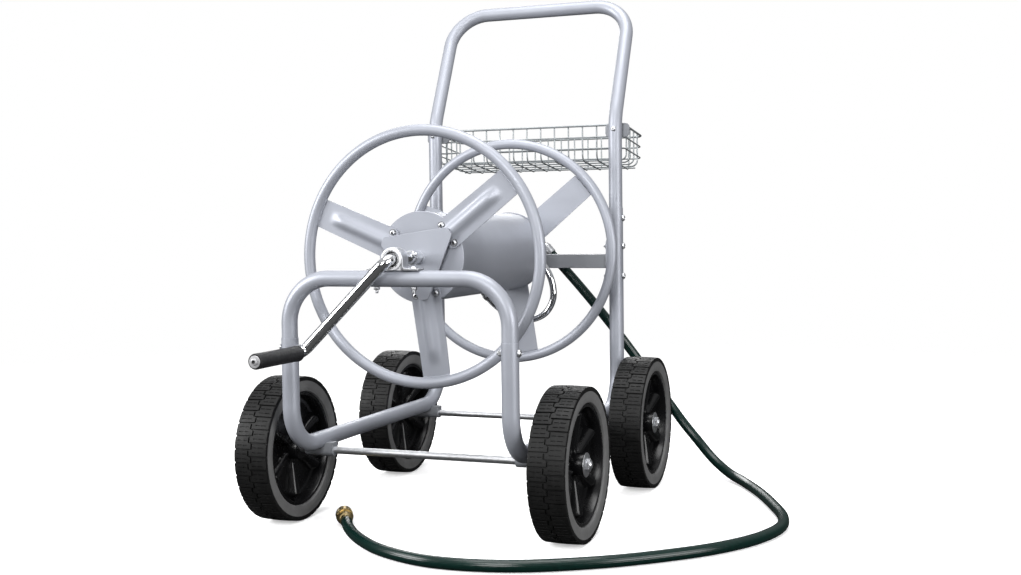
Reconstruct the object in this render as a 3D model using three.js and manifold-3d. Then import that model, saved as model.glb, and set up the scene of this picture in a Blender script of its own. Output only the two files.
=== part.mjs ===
// Garden hose reel cart: four wheels, a bent tube frame, a crank-driven reel, a basket and a leader hose.
// Millimetres, +Z up. +X is the cart's right, -Y its front, the end with the crank.
// The design is drawn with Y = 0 at the front axle and is moved at the end, so that the origin is the
// middle of the floor under the cart.
import * as THREE from 'three';
import { mergeVertices } from 'three/addons/utils/BufferGeometryUtils.js';
import Module from 'manifold-3d';

const wasm = await Module();
wasm.setup();

// ---- driving sizes -------------------------------------------------------------------------------

const GAP = 0.3;                  // clearance between pieces that touch
const PLAY = 0.6;                 // running clearance on a diameter

const WHEEL_DIAMETER = 254;
const WHEEL_WIDTH = 61;
const TRACK = 522;                // between the middles of the two wheels of an axle
const WHEELBASE = 447;
const RIM_DIAMETER = 198;
const RIM_BAND = 6;               // thickness of the rim's outer band
const RIM_WEB = 6;
const HUB_DIAMETER = 40;
const HUB_WIDTH = 52;
const AXLE_DIAMETER = 12.7;
const NUT_FLANGE = 40;
const NUT_HEIGHT = 9;
const NUT_WIDTH = 19;             // across the flats

const RAIL_DIAMETER = 28.6;
const RAIL_ABOVE_AXLE = 18;       // from the axle up to the bottom rail's middle
const RAIL_BEND = 70;
const WALL = 1.5;                 // of every frame tube
const FRONT_TUBE = 26.6;
const FRONT_SPREAD = 392;         // between the middles of the two rails
const FRONT_LEG_Y = -97;
const FRONT_HEIGHT = 430;         // of the hoop's bar
const FRONT_SEAM = 331;
const FRONT_BEND = 75;
const HANDLE_TUBE = 27;
const REAR_LEG_Y = 506;
const REAR_SEAM = 546;
const HANDLE_BEND_Z = 721;        // where the handle starts to lean back
const HANDLE_HEIGHT = 967;        // of the grip bar's middle
const HANDLE_LEAN = 0.49;         // backwards for each millimetre up
const HANDLE_CORNER = 75;
const HANDLE_KNEE = 120;
const SPIGOT_LENGTH = 45;

const BRACKET_WIDTH = 54;
const BRACKET_RADIUS = 10;
const BRACE_HEIGHT = 28;
const BRACE_DEPTH = 25;
const BRACE_Z = 439.5;
const PLATE = 3;                  // steel plate of the brackets
const BRACE_BOLT_SPACING = 60;
const BRACE_PLATE_HEIGHT = 86;

const REEL_Z = 461.8;
const RING_DIAMETER = 425;        // of the ring tube's centreline
const RING_TUBE = 19.2;
const RING_FRONT_Y = 2.5;
const RING_REAR_Y = 420.5;
const SPOKE_WIDTH = 50;
const SPOKE_ROOT = 51;            // distance of the spokes' inner ends from the axis
const SPOKE_SHEET = 2;
const RIB_HEIGHT = 8;
const RIB_WIDTH = 22;
const SPOKE_ANGLE_FRONT = 37.5;   // degrees from +X towards +Z
const SPOKE_ANGLE_REAR = 39.5;
const DRUM_DIAMETER = 151;
const DRUM_RIM = 2;               // how far the end discs stand out past the shell
const DRUM_SHEET = 1.2;
const DISC_THICKNESS = 2.5;
const HUB_PLATE_INNER = 42.5;     // from the axis to a long edge
const HUB_PLATE_CORNER = 72;      // from the axis to a cut corner

const SHAFT_DIAMETER = 19.6;
const SHAFT_BORE = 14;
const SHAFT_FRONT = -101;
const SHAFT_REAR = 532;
const BUSH_WIDTH = 31;
const BUSH_LENGTH = 30;
const BUSH_FLANGE = 36;
const BUSH_MOUTH = 26;            // counterbore at the front
const BUSH_MOUTH_DEPTH = 10;
const STRAP_DEPTH = 22;
const STRAP_FOOT = 46;            // half the strap's length over its feet
const STRAP_BOLT = 33;

const CRANK_TUBE = 19;
const CRANK_LENGTH = 217.6;
const CRANK_ANGLE = -135.8;
const CRANK_Y = -124;
const CRANK_BEND = 18;
const GRIP_DIAMETER = 25;
const GRIP_LENGTH = 128;
const GRIP_PIN = 11;

const PIPE_DIAMETER = 13;
const SWIVEL_Y = 548;
const SWIVEL_DIAMETER = 26;
const ELBOW_BEND = 12;
const HOSE_DIAMETER = 19;
const FERRULE_DIAMETER = 23;
const COUPLING_DIAMETER = 30;
const COUPLING_LENGTH = 34;

const BASKET_WIDTH = 422;
const BASKET_DEPTH = 146;
const BASKET_HEIGHT = 73;
const BASKET_TOP = 715;
const BASKET_WALL = 3;
const BASKET_TILT = 6.5;          // degrees, sagging to the rear
const BASKET_PLATE_WIDTH = 50;
const BASKET_PLATE_HEIGHT = 28;

const BOLT = 6;                   // of the frame's through bolts
const BOLT_HEAD = 12;
const BOLT_NUT = 10;

const AXLE_Z = WHEEL_DIAMETER / 2;
const RAIL_HEIGHT = AXLE_Z + RAIL_ABOVE_AXLE;
const RAIL_X = FRONT_SPREAD / 2;
const ROUND = 24;                 // facets of a wheel
const TUBE_SIDES = 8;

// ---- materials -----------------------------------------------------------------------------------

const finish = (colour, roughness, metalness) =>
  new THREE.MeshStandardMaterial({ color: colour, roughness, metalness });
const PAINT = finish(0xaeb0bb, 0.4, 0.3);
const DARK_PAINT = finish(0x7d8084, 0.5, 0.3);
const CHROME = finish(0xdfe1e3, 0.08, 1);
const ZINC = finish(0xc2c5c6, 0.3, 1);
const RUBBER = finish(0x161718, 0.8, 0);
const RIM_PLASTIC = finish(0x0b0c0d, 0.3, 0);
const BUSH_PLASTIC = finish(0xd8dadc, 0.5, 0);
const GRIP_FOAM = finish(0x141414, 0.9, 0);
const BRASS = finish(0xc29a45, 0.3, 1);
const HOSE = finish(0x0f3d33, 0.4, 0);
const WIRE = finish(0x8f9494, 0.4, 0.6);

// ---- solids --------------------------------------------------------------------------------------

const cart = new THREE.Group();

function add(name, geometry, material) {
  const mesh = new THREE.Mesh(geometry, material);
  mesh.name = name;
  cart.add(mesh);
  return mesh;
}

function toSolid(geometry) {
  const bare = new THREE.BufferGeometry();
  bare.setAttribute('position', geometry.getAttribute('position').clone());
  if (geometry.index) bare.setIndex(geometry.index.clone());
  const merged = mergeVertices(bare, 1e-3);
  return new wasm.Manifold(new wasm.Mesh({
    numProp: 3,
    vertProperties: merged.getAttribute('position').array,
    triVerts: new Uint32Array(merged.index.array),
  }));
}

function toGeometry(solid) {
  const mesh = solid.getMesh();
  const geometry = new THREE.BufferGeometry();
  geometry.setAttribute('position', new THREE.BufferAttribute(new Float32Array(mesh.vertProperties), 3));
  geometry.setIndex(new THREE.BufferAttribute(new Uint32Array(mesh.triVerts), 1));
  return geometry;
}

function join(...geometries) {
  return toGeometry(geometries.map(toSolid).reduce((whole, piece) => whole.add(piece)));
}

function cut(geometry, ...tools) {
  return toGeometry(tools.map(toSolid).reduce((rest, tool) => rest.subtract(tool), toSolid(geometry)));
}

// A path straight from point to point, whose extrusion steps fall on the points.
class PointPath extends THREE.Curve {
  constructor(points) {
    super();
    this.points = points;
  }

  getPoint(t, target = new THREE.Vector3()) {
    const place = t * (this.points.length - 1);
    const index = Math.min(Math.floor(place), this.points.length - 2);
    return target.lerpVectors(this.points[index], this.points[index + 1], place - index);
  }

  getUtoTmapping(u) {
    return u;
  }
}

function circle(radius, sides) {
  const points = [];
  for (let side = 0; side < sides; side += 1) {
    const angle = (2 * Math.PI * (side + 0.5)) / sides;
    points.push(new THREE.Vector2(radius * Math.cos(angle), radius * Math.sin(angle)));
  }
  return points;
}

function tube(points, diameter, bore = 0, sides = TUBE_SIDES) {
  const section = new THREE.Shape(circle(diameter / 2, sides));
  if (bore > 0) section.holes.push(new THREE.Path(circle(bore / 2, sides)));
  return new THREE.ExtrudeGeometry(section, {
    steps: points.length - 1,
    extrudePath: new PointPath(points),
  });
}

// The corners of a polyline rounded to a bend radius, which may differ from corner to corner.
function bent(corners, radius, steps = 4) {
  const points = [corners[0]];
  corners.slice(1, -1).forEach((corner, index) => {
    const bend = Array.isArray(radius) ? radius[index] : radius;
    const before = corner.clone().sub(corners[index]).normalize();
    const after = corners[index + 2].clone().sub(corner).normalize();
    const turn = before.angleTo(after);
    const start = corner.clone().addScaledVector(before, -bend * Math.tan(turn / 2));
    const inward = after.clone().addScaledVector(before, -before.dot(after)).normalize();
    const centre = start.clone().addScaledVector(inward, bend);
    const axis = before.clone().cross(after).normalize();
    for (let step = 0; step <= steps; step += 1) {
      const spoke = start.clone().sub(centre).applyAxisAngle(axis, (turn * step) / steps);
      points.push(spoke.add(centre));
    }
  });
  points.push(corners.at(-1));
  return points;
}

const at = (x, y, z) => new THREE.Vector3(x, y, z);

// A turned piece: profile points are [distance from the axis, place along the axis], in either order.
function turned(profile, segments) {
  const closed = profile[0][0] === 0 ? profile : [...profile, profile[0]];
  const points = closed.map(([radius, along]) => new THREE.Vector2(radius, along));
  if (THREE.ShapeUtils.area(points) < 0) points.reverse();
  return new THREE.LatheGeometry(points, segments, Math.PI / segments);
}

const alongX = (geometry) => geometry.rotateZ(-Math.PI / 2);
const alongY = (geometry) => geometry;
const alongZ = (geometry) => geometry.rotateX(Math.PI / 2);
const moved = (geometry, x, y, z) => geometry.translate(x, y, z);

function rod(diameter, length, segments = 16) {
  return new THREE.CylinderGeometry(diameter / 2, diameter / 2, length, segments);
}

// A flat piece: an outline in X and Z given thickness along Y, from its front face backwards.
function plate(outline, thickness, front) {
  const flat = new THREE.ExtrudeGeometry(outline, { depth: thickness, bevelEnabled: false, curveSegments: 5 });
  return flat.rotateX(Math.PI / 2).translate(0, front + thickness, 0);
}

const sides = [['left', -1], ['right', 1]];
const radians = THREE.MathUtils.degToRad;

// ---- frame ---------------------------------------------------------------------------------------

const RAIL_BORE = RAIL_DIAMETER - 2 * WALL;
const SPIGOT = RAIL_BORE - 2 * GAP - 1;
const FRONT_BOLT_Z = FRONT_SEAM - 16;
const REAR_BOLT_Z = REAR_SEAM - 21;
const BRACE_BOLTS_Z = [BRACE_Z - BRACE_BOLT_SPACING / 2, BRACE_Z + BRACE_BOLT_SPACING / 2];
const BOLT_HOLE = BOLT + PLAY;

function crossHole(x, y, z, length = RAIL_DIAMETER * 2) {
  return moved(alongX(rod(BOLT_HOLE, length, 8)), x, y, z);
}

// A hollow rail with both ends bent up. Its underside is notched where the axles pass through their brackets.
function sideRail(x) {
  const path = bent([
    at(x, FRONT_LEG_Y, FRONT_SEAM),
    at(x, FRONT_LEG_Y, RAIL_HEIGHT),
    at(x, REAR_LEG_Y, RAIL_HEIGHT),
    at(x, REAR_LEG_Y, REAR_SEAM),
  ], RAIL_BEND);
  const axleSeat = rod(AXLE_DIAMETER + PLAY, RAIL_DIAMETER * 2, 12);
  return cut(
    tube(path, RAIL_DIAMETER, RAIL_BORE),
    moved(alongX(axleSeat.clone()), x, 0, AXLE_Z),
    moved(alongX(axleSeat.clone()), x, WHEELBASE, AXLE_Z),
    crossHole(x, FRONT_LEG_Y, FRONT_BOLT_Z),
    crossHole(x, REAR_LEG_Y, REAR_BOLT_Z),
    ...BRACE_BOLTS_Z.map((z) => crossHole(x, REAR_LEG_Y, z)),
  );
}

// The thinner tube end that slips into a side rail.
function spigot(x, y, seam, outer) {
  const bore = SPIGOT - 2 * WALL;
  const top = seam + GAP;
  const profile = [[bore / 2, seam - SPIGOT_LENGTH], [SPIGOT / 2, seam - SPIGOT_LENGTH],
    [SPIGOT / 2, top], [outer / 2 - 0.2, top], [outer / 2 - 0.2, top + WALL], [bore / 2, top + WALL]];
  return moved(alongZ(turned(profile, TUBE_SIDES)), x, y, 0);
}

function hoop(path, diameter, x, y, seam, boltZ) {
  const bored = tube(path, diameter, diameter - 2 * WALL);
  return cut(
    join(bored, spigot(-x, y, seam, diameter), spigot(x, y, seam, diameter)),
    crossHole(-x, y, boltZ),
    crossHole(x, y, boltZ),
  );
}

sides.forEach(([side, sign]) => add(`side_rail_${side}`, sideRail(sign * RAIL_X), PAINT));

const frontHoopPath = bent([
  at(-RAIL_X, FRONT_LEG_Y, FRONT_SEAM + GAP),
  at(-RAIL_X, FRONT_LEG_Y, FRONT_HEIGHT),
  at(RAIL_X, FRONT_LEG_Y, FRONT_HEIGHT),
  at(RAIL_X, FRONT_LEG_Y, FRONT_SEAM + GAP),
], FRONT_BEND);
const strapBoltHoles = [-STRAP_BOLT, STRAP_BOLT].map((x) =>
  moved(alongZ(rod(BOLT_HOLE, FRONT_TUBE * 2, 8)), x, FRONT_LEG_Y, FRONT_HEIGHT));
add('front_hoop', cut(
  hoop(frontHoopPath, FRONT_TUBE, RAIL_X, FRONT_LEG_Y, FRONT_SEAM, FRONT_BOLT_Z),
  ...strapBoltHoles,
), PAINT);

const handleTopY = REAR_LEG_Y + HANDLE_LEAN * (HANDLE_HEIGHT - HANDLE_BEND_Z);
const handlePath = bent([
  at(-RAIL_X, REAR_LEG_Y, REAR_SEAM + GAP),
  at(-RAIL_X, REAR_LEG_Y, HANDLE_BEND_Z),
  at(-RAIL_X, handleTopY, HANDLE_HEIGHT),
  at(RAIL_X, handleTopY, HANDLE_HEIGHT),
  at(RAIL_X, REAR_LEG_Y, HANDLE_BEND_Z),
  at(RAIL_X, REAR_LEG_Y, REAR_SEAM + GAP),
], [HANDLE_KNEE, HANDLE_CORNER, HANDLE_CORNER, HANDLE_KNEE]);
add('handle_hoop', hoop(handlePath, HANDLE_TUBE, RAIL_X, REAR_LEG_Y, REAR_SEAM, REAR_BOLT_Z), PAINT);

// A rectangular bar between two end plates, notched on top for the rear bearing.
const bracePlateX = RAIL_X - RAIL_DIAMETER / 2 - GAP - PLATE / 2;
const braceTop = BRACE_Z + BRACE_HEIGHT / 2;
const braceNotch = moved(
  new THREE.BoxGeometry(BUSH_WIDTH + 2 * GAP, BRACE_DEPTH * 2, BRACE_HEIGHT),
  0, REAR_LEG_Y, REEL_Z - BUSH_WIDTH / 2 - GAP - 3 + BRACE_HEIGHT / 2,
);
const bracePlates = sides.map(([, sign]) => moved(
  new THREE.BoxGeometry(PLATE, BRACE_DEPTH + 3, BRACE_PLATE_HEIGHT), sign * bracePlateX, REAR_LEG_Y, BRACE_Z,
));
add('cross_brace', cut(
  join(
    moved(new THREE.BoxGeometry(2 * bracePlateX, BRACE_DEPTH, BRACE_HEIGHT), 0, REAR_LEG_Y, BRACE_Z),
    ...bracePlates,
  ),
  braceNotch,
  ...BRACE_BOLTS_Z.flatMap((z) => sides.map(([, sign]) => crossHole(sign * RAIL_X, REAR_LEG_Y, z))),
), DARK_PAINT);

// ---- axles and their brackets --------------------------------------------------------------------

const axles = [['front', 0], ['rear', WHEELBASE]];
const hubFace = TRACK / 2 + HUB_WIDTH / 2;
const axleEnd = hubFace + GAP + 2 + NUT_HEIGHT + 3;

// A saddle under the rail, with the axle through it.
function axleBracket(x, y) {
  const outline = new THREE.Shape();
  outline.absarc(0, AXLE_Z, BRACKET_RADIUS, Math.PI, 2 * Math.PI, false);
  outline.lineTo(BRACKET_RADIUS, RAIL_HEIGHT);
  outline.lineTo(-BRACKET_RADIUS, RAIL_HEIGHT);
  const block = plate(outline, BRACKET_WIDTH, -BRACKET_WIDTH / 2).rotateZ(Math.PI / 2);
  const rail = moved(rod(RAIL_DIAMETER + 2 * GAP, BRACKET_WIDTH * 2, 16), 0, 0, RAIL_HEIGHT);
  const bore = moved(alongX(rod(AXLE_DIAMETER + PLAY, BRACKET_WIDTH * 2, 16)), 0, 0, AXLE_Z);
  return moved(cut(block, rail, bore), x, y, 0);
}

axles.forEach(([end, y]) => {
  sides.forEach(([side, sign]) => {
    add(`axle_bracket_${end}_${side}`, axleBracket(sign * RAIL_X, y), DARK_PAINT);
  });
  add(`${end}_axle`, moved(alongX(rod(AXLE_DIAMETER, 2 * axleEnd, 16)), 0, y, AXLE_Z), ZINC);
});

// ---- wheels --------------------------------------------------------------------------------------

const tyreRadius = WHEEL_DIAMETER / 2 / Math.cos(Math.PI / ROUND);
const rimRadius = RIM_DIAMETER / 2;
const SHOULDER = 9;

function tyre() {
  const half = WHEEL_WIDTH / 2;
  return alongX(turned([
    [rimRadius + GAP, -half + 3], [rimRadius + 6, -half], [tyreRadius - SHOULDER, -half],
    [tyreRadius - 2, -half + SHOULDER - 3], [tyreRadius, -half + SHOULDER + 3],
    [tyreRadius, half - SHOULDER - 3], [tyreRadius - 2, half - SHOULDER + 3],
    [tyreRadius - SHOULDER, half], [rimRadius + 6, half], [rimRadius + GAP, half - 3],
  ], ROUND));
}

function rim() {
  const bore = (AXLE_DIAMETER + PLAY) / 2;
  const half = HUB_WIDTH / 2;
  const web = RIM_WEB / 2;
  const band = rimRadius - RIM_BAND;
  return alongX(turned([
    [bore, -half], [HUB_DIAMETER / 2, -half], [HUB_DIAMETER / 2, -web], [band, -web], [band, -half],
    [rimRadius, -half], [rimRadius, half], [band, half], [band, web], [HUB_DIAMETER / 2, web],
    [HUB_DIAMETER / 2, half], [bore, half],
  ], ROUND));
}

// A hexagon nut on a wide round flange; the flange faces the wheel.
function flangedNut(sign) {
  const flange = rod(NUT_FLANGE, 2, 16);
  const hexagon = moved(rod(NUT_WIDTH / Math.cos(Math.PI / 6), NUT_HEIGHT, 6), 0, NUT_HEIGHT / 2, 0);
  const bore = rod(AXLE_DIAMETER + PLAY, NUT_HEIGHT * 4, 16);
  const nut = alongX(cut(join(flange, hexagon), bore));
  return moved(sign > 0 ? nut : nut.rotateZ(Math.PI), sign * (hubFace + GAP + 1), 0, 0);
}

axles.forEach(([end, y]) => {
  sides.forEach(([side, sign]) => {
    const x = (sign * TRACK) / 2;
    add(`tyre_${end}_${side}`, moved(tyre(), x, y, AXLE_Z), RUBBER);
    add(`rim_${end}_${side}`, moved(rim(), x, y, AXLE_Z), RIM_PLASTIC);
    add(`axle_nut_${end}_${side}`, moved(flangedNut(sign), 0, y, AXLE_Z), ZINC);
  });
});

// ---- reel ----------------------------------------------------------------------------------------

const drumFront = RING_FRONT_Y + SPOKE_SHEET / 2 + GAP;       // front face of the front end disc
const drumRear = RING_REAR_Y - SPOKE_SHEET / 2 - GAP;
const discRadius = DRUM_DIAMETER / 2 + DRUM_RIM;

function ring(y) {
  const hoopRing = new THREE.TorusGeometry(RING_DIAMETER / 2, RING_TUBE / 2, 8, 32);
  return moved(hoopRing.rotateX(Math.PI / 2), 0, y, REEL_Z);
}

// A flat strip with a raised rib; outward is -1 at the front flange and +1 at the rear.
function spoke(angle, y, outward) {
  const outer = RING_DIAMETER / 2 - RING_TUBE / 2 - GAP;
  const half = SPOKE_WIDTH / 2;
  const end = Math.sqrt(outer ** 2 - half ** 2) - 1;
  const corner = 12;
  const outline = new THREE.Shape();
  outline.moveTo(end, -half);
  outline.lineTo(outer - 1, 0);
  outline.lineTo(end, half);
  outline.lineTo(SPOKE_ROOT + corner, half);
  outline.absarc(SPOKE_ROOT + corner, half - corner, corner, Math.PI / 2, Math.PI, false);
  outline.absarc(SPOKE_ROOT + corner, corner - half, corner, Math.PI, 1.5 * Math.PI, false);
  const strip = plate(outline, SPOKE_SHEET, -SPOKE_SHEET / 2);
  const section = new THREE.Shape([
    new THREE.Vector2(-RIB_WIDTH / 2, 0), new THREE.Vector2(RIB_WIDTH / 2, 0),
    new THREE.Vector2(RIB_WIDTH / 5, RIB_HEIGHT), new THREE.Vector2(-RIB_WIDTH / 5, RIB_HEIGHT),
  ]);
  const length = end - SPOKE_ROOT - 2 * corner;
  const rib = new THREE.ExtrudeGeometry(section, { depth: length, bevelEnabled: false });
  rib.rotateY(Math.PI / 2);
  if (outward < 0) rib.rotateX(Math.PI);
  const pressed = join(strip, moved(rib, SPOKE_ROOT + corner, 0, 0));
  return moved(pressed.rotateY(-angle), 0, y, REEL_Z);
}

function disc(front) {
  const outer = discRadius;
  const inner = (SHAFT_DIAMETER + 2 * GAP) / 2;
  return moved(turned([
    [inner, front], [inner, front + DISC_THICKNESS], [outer, front + DISC_THICKNESS], [outer, front],
  ], 28), 0, 0, REEL_Z);
}

// A triangle with cut corners that lies on the three ribs.
function hubPlate(angle, front) {
  const outline = new THREE.Shape();
  const corner = 2 * HUB_PLATE_INNER - HUB_PLATE_CORNER;
  const halfChord = corner * Math.tan(Math.PI / 6);
  [0, 1, 2].forEach((index) => {
    const turn = angle + (index * 2 * Math.PI) / 3;
    [-halfChord, halfChord].forEach((across) => {
      const x = HUB_PLATE_CORNER * Math.cos(turn) - across * Math.sin(turn);
      const z = HUB_PLATE_CORNER * Math.sin(turn) + across * Math.cos(turn);
      if (index === 0 && across < 0) outline.moveTo(x, z);
      else outline.lineTo(x, z);
    });
  });
  const bore = new THREE.Path(circle((SHAFT_DIAMETER + 2 * GAP) / 2 / Math.cos(Math.PI / 16), 16));
  outline.holes.push(bore);
  return moved(plate(outline, PLATE, front), 0, 0, REEL_Z);
}

const flanges = [
  ['front', RING_FRONT_Y, -1, radians(SPOKE_ANGLE_FRONT), drumFront],
  ['rear', RING_REAR_Y, 1, radians(SPOKE_ANGLE_REAR), drumRear - DISC_THICKNESS],
];
flanges.forEach(([end, y, outward, angle, discY]) => {
  add(`reel_ring_${end}`, ring(y), PAINT);
  [1, 2, 3].forEach((count) => {
    const turn = angle + ((count - 1) * 2 * Math.PI) / 3;
    add(`spoke_${end}_${count}`, spoke(turn, y, outward), PAINT);
  });
  const plateFace = y + outward * (RIB_HEIGHT + GAP);
  add(`hub_plate_${end}`, hubPlate(angle, outward < 0 ? plateFace - PLATE : plateFace), PAINT);
  add(`drum_disc_${end}`, disc(discY), PAINT);
});

const shellFront = drumFront + DISC_THICKNESS + GAP;
const shellRear = drumRear - DISC_THICKNESS - GAP;
const shellOuter = DRUM_DIAMETER / 2;
add('drum_shell', moved(turned([
  [shellOuter - DRUM_SHEET, shellFront], [shellOuter - DRUM_SHEET, shellRear],
  [shellOuter, shellRear], [shellOuter, shellFront],
], 28), 0, 0, REEL_Z), PAINT);

add('reel_shaft', moved(turned([
  [SHAFT_BORE / 2, SHAFT_FRONT], [SHAFT_BORE / 2, SHAFT_REAR],
  [SHAFT_DIAMETER / 2, SHAFT_REAR], [SHAFT_DIAMETER / 2, SHAFT_FRONT],
], 16), 0, 0, REEL_Z), CHROME);

// ---- bearings ------------------------------------------------------------------------------------

// A D-shaped block under a strap; the block's flat foot stands on the bar below it.
function blockOutline(half, foot) {
  const outline = new THREE.Shape();
  outline.moveTo(half, -foot);
  outline.lineTo(half, 0);
  outline.absarc(0, 0, half, 0, Math.PI, false);
  outline.lineTo(-half, -foot);
  return outline;
}

function bush(y, foot) {
  const outline = blockOutline(BUSH_WIDTH / 2, foot);
  const block = plate(outline, BUSH_LENGTH, -BUSH_LENGTH / 2);
  const flange = moved(rod(BUSH_FLANGE, 1.8, 20), 0, -BUSH_LENGTH / 2 + 0.9, 0);
  const top = new THREE.BoxGeometry(BUSH_FLANGE * 2, BUSH_LENGTH * 2, BUSH_FLANGE);
  const bore = rod(SHAFT_DIAMETER + 2 * PLAY, BUSH_LENGTH * 2, 16);
  const mouth = moved(rod(BUSH_MOUTH + 1, 2 * BUSH_MOUTH_DEPTH, 16), 0, -BUSH_LENGTH / 2, 0);
  const below = moved(top, 0, 0, -foot - BUSH_FLANGE / 2);
  return moved(cut(join(block, flange), bore, mouth, below), 0, y, REEL_Z);
}

// The strap over a bush, with a foot on each side; drop is how far their soles lie under the axis.
function strap(y, drop) {
  const inner = BUSH_WIDTH / 2 + GAP;
  const outer = inner + PLATE;
  const outline = new THREE.Shape();
  outline.moveTo(STRAP_FOOT, -drop);
  outline.lineTo(STRAP_FOOT, PLATE - drop);
  outline.lineTo(outer, PLATE - drop);
  outline.lineTo(outer, 0);
  outline.absarc(0, 0, outer, 0, Math.PI, false);
  outline.lineTo(-outer, PLATE - drop);
  outline.lineTo(-STRAP_FOOT, PLATE - drop);
  outline.lineTo(-STRAP_FOOT, -drop);
  outline.lineTo(-inner, -drop);
  outline.lineTo(-inner, 0);
  outline.absarc(0, 0, inner, Math.PI, 0, true);
  outline.lineTo(inner, -drop);
  const band = plate(outline, STRAP_DEPTH, -STRAP_DEPTH / 2);
  const holes = [-STRAP_BOLT, STRAP_BOLT].map((x) =>
    moved(alongZ(rod(BOLT_HOLE, PLATE * 4, 8)), x, 0, -drop));
  return moved(cut(band, ...holes), 0, y, REEL_Z);
}

const frontFoot = REEL_Z - (FRONT_HEIGHT + FRONT_TUBE / 2) - GAP;
const rearFoot = REEL_Z - braceTop - GAP;
add('front_bush', bush(FRONT_LEG_Y, frontFoot), BUSH_PLASTIC);
add('front_bearing_strap', strap(FRONT_LEG_Y, frontFoot), ZINC);
add('rear_bush', bush(REAR_LEG_Y, BUSH_WIDTH / 2 + 3), BUSH_PLASTIC);
add('rear_bearing_strap', strap(REAR_LEG_Y, rearFoot), ZINC);

// ---- crank ---------------------------------------------------------------------------------------

const crankTurn = radians(CRANK_ANGLE);
const gripX = CRANK_LENGTH * Math.cos(crankTurn);
const gripZ = REEL_Z + CRANK_LENGTH * Math.sin(crankTurn);
const gripFront = CRANK_Y - CRANK_BEND + 2;               // where the grip starts on its pin
const gripEnd = gripFront - GRIP_LENGTH;

const crankPath = bent([
  at(0, SHAFT_FRONT - GAP, REEL_Z),
  at(0, CRANK_Y, REEL_Z),
  at(gripX, CRANK_Y, gripZ),
  at(gripX, gripFront + GAP, gripZ),
], [CRANK_BEND, CRANK_BEND - 4]);
const crankPlug = moved(rod(SHAFT_BORE - 2 * GAP, 72, 12), 0, SHAFT_FRONT + 34, REEL_Z);
const gripPin = moved(rod(GRIP_PIN, GRIP_LENGTH + 8, 12), gripX, gripFront - GRIP_LENGTH / 2 + 4, gripZ);
add('crank_arm', join(tube(crankPath, CRANK_TUBE, 0, 12), crankPlug, gripPin), CHROME);

const gripBore = (GRIP_PIN + PLAY) / 2;
const gripRadius = GRIP_DIAMETER / 2;
add('crank_grip', moved(turned([
  [gripBore, gripEnd], [gripBore, gripFront], [gripRadius - 2, gripFront], [gripRadius, gripFront - 3],
  [gripRadius, gripEnd + 3], [gripRadius - 2, gripEnd],
], 16), gripX, 0, gripZ), GRIP_FOAM);
add('grip_screw', moved(turned([
  [0, gripEnd - 4.5], [3.5, gripEnd - 4.5], [5, gripEnd - 2], [9, gripEnd - 2], [9, gripEnd - GAP],
  [0, gripEnd - GAP],
], 16), gripX, 0, gripZ), ZINC);

// ---- water way -----------------------------------------------------------------------------------

// The outlet pipe: out of the shaft behind the rear flange, round below it, and forward past the lowest
// spoke into the winding space, where the stored hose screws on.
const pipePlane = RING_REAR_Y + 26;
const drumFoot = REEL_Z - DRUM_DIAMETER / 2;
const gooseneckPath = new THREE.CatmullRomCurve3([
  at(SHAFT_DIAMETER / 2 + GAP, pipePlane, REEL_Z), at(34, pipePlane, REEL_Z - 6),
  at(64, pipePlane, REEL_Z - 30), at(80, pipePlane, REEL_Z - 62), at(82, pipePlane, drumFoot - 20.5),
  at(66, pipePlane, drumFoot - 48.5), at(38, pipePlane - 2, drumFoot - 61.5),
  at(8, pipePlane - 8, drumFoot - 60.5),
  at(-14, pipePlane - 20, drumFoot - 46.5), at(-32, pipePlane - 38, drumFoot - 26.5),
  at(-44, pipePlane - 56, drumFoot - 4.5),
]);
add('gooseneck_tube', tube(gooseneckPath.getPoints(20), PIPE_DIAMETER, 0, 8), CHROME);

const swivelFront = SHAFT_REAR + 2 - SWIVEL_Y;
const swivelBody = turned([
  [0, swivelFront], [SWIVEL_DIAMETER / 2 - 2, swivelFront], [SWIVEL_DIAMETER / 2, swivelFront + 2],
  [SWIVEL_DIAMETER / 2, 10], [SWIVEL_DIAMETER / 2 - 5, 14], [0, 14],
], 16);
const inletTurn = radians(-49);
const elbowRise = 11;
const elbowSpout = 14;
const elbowCorner = at(0, 0, elbowRise + ELBOW_BEND * Math.tan((Math.PI / 2 - inletTurn) / 2));
const elbowPath = bent([
  at(0, 0, 0),
  elbowCorner,
  at(
    Math.cos(inletTurn) * (elbowCorner.z - elbowRise + elbowSpout), 0,
    elbowCorner.z + Math.sin(inletTurn) * (elbowCorner.z - elbowRise + elbowSpout),
  ),
], ELBOW_BEND, 6);
const elbowMouth = elbowPath.at(-1);
const swivelNeck = moved(rod(SHAFT_BORE - 2 * GAP, 26, 12), 0, swivelFront - 11, 0);
add('inlet_swivel', moved(
  join(swivelBody, swivelNeck, tube(elbowPath, PIPE_DIAMETER, 0, 10)), 0, SWIVEL_Y, REEL_Z,
), BRASS);

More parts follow.
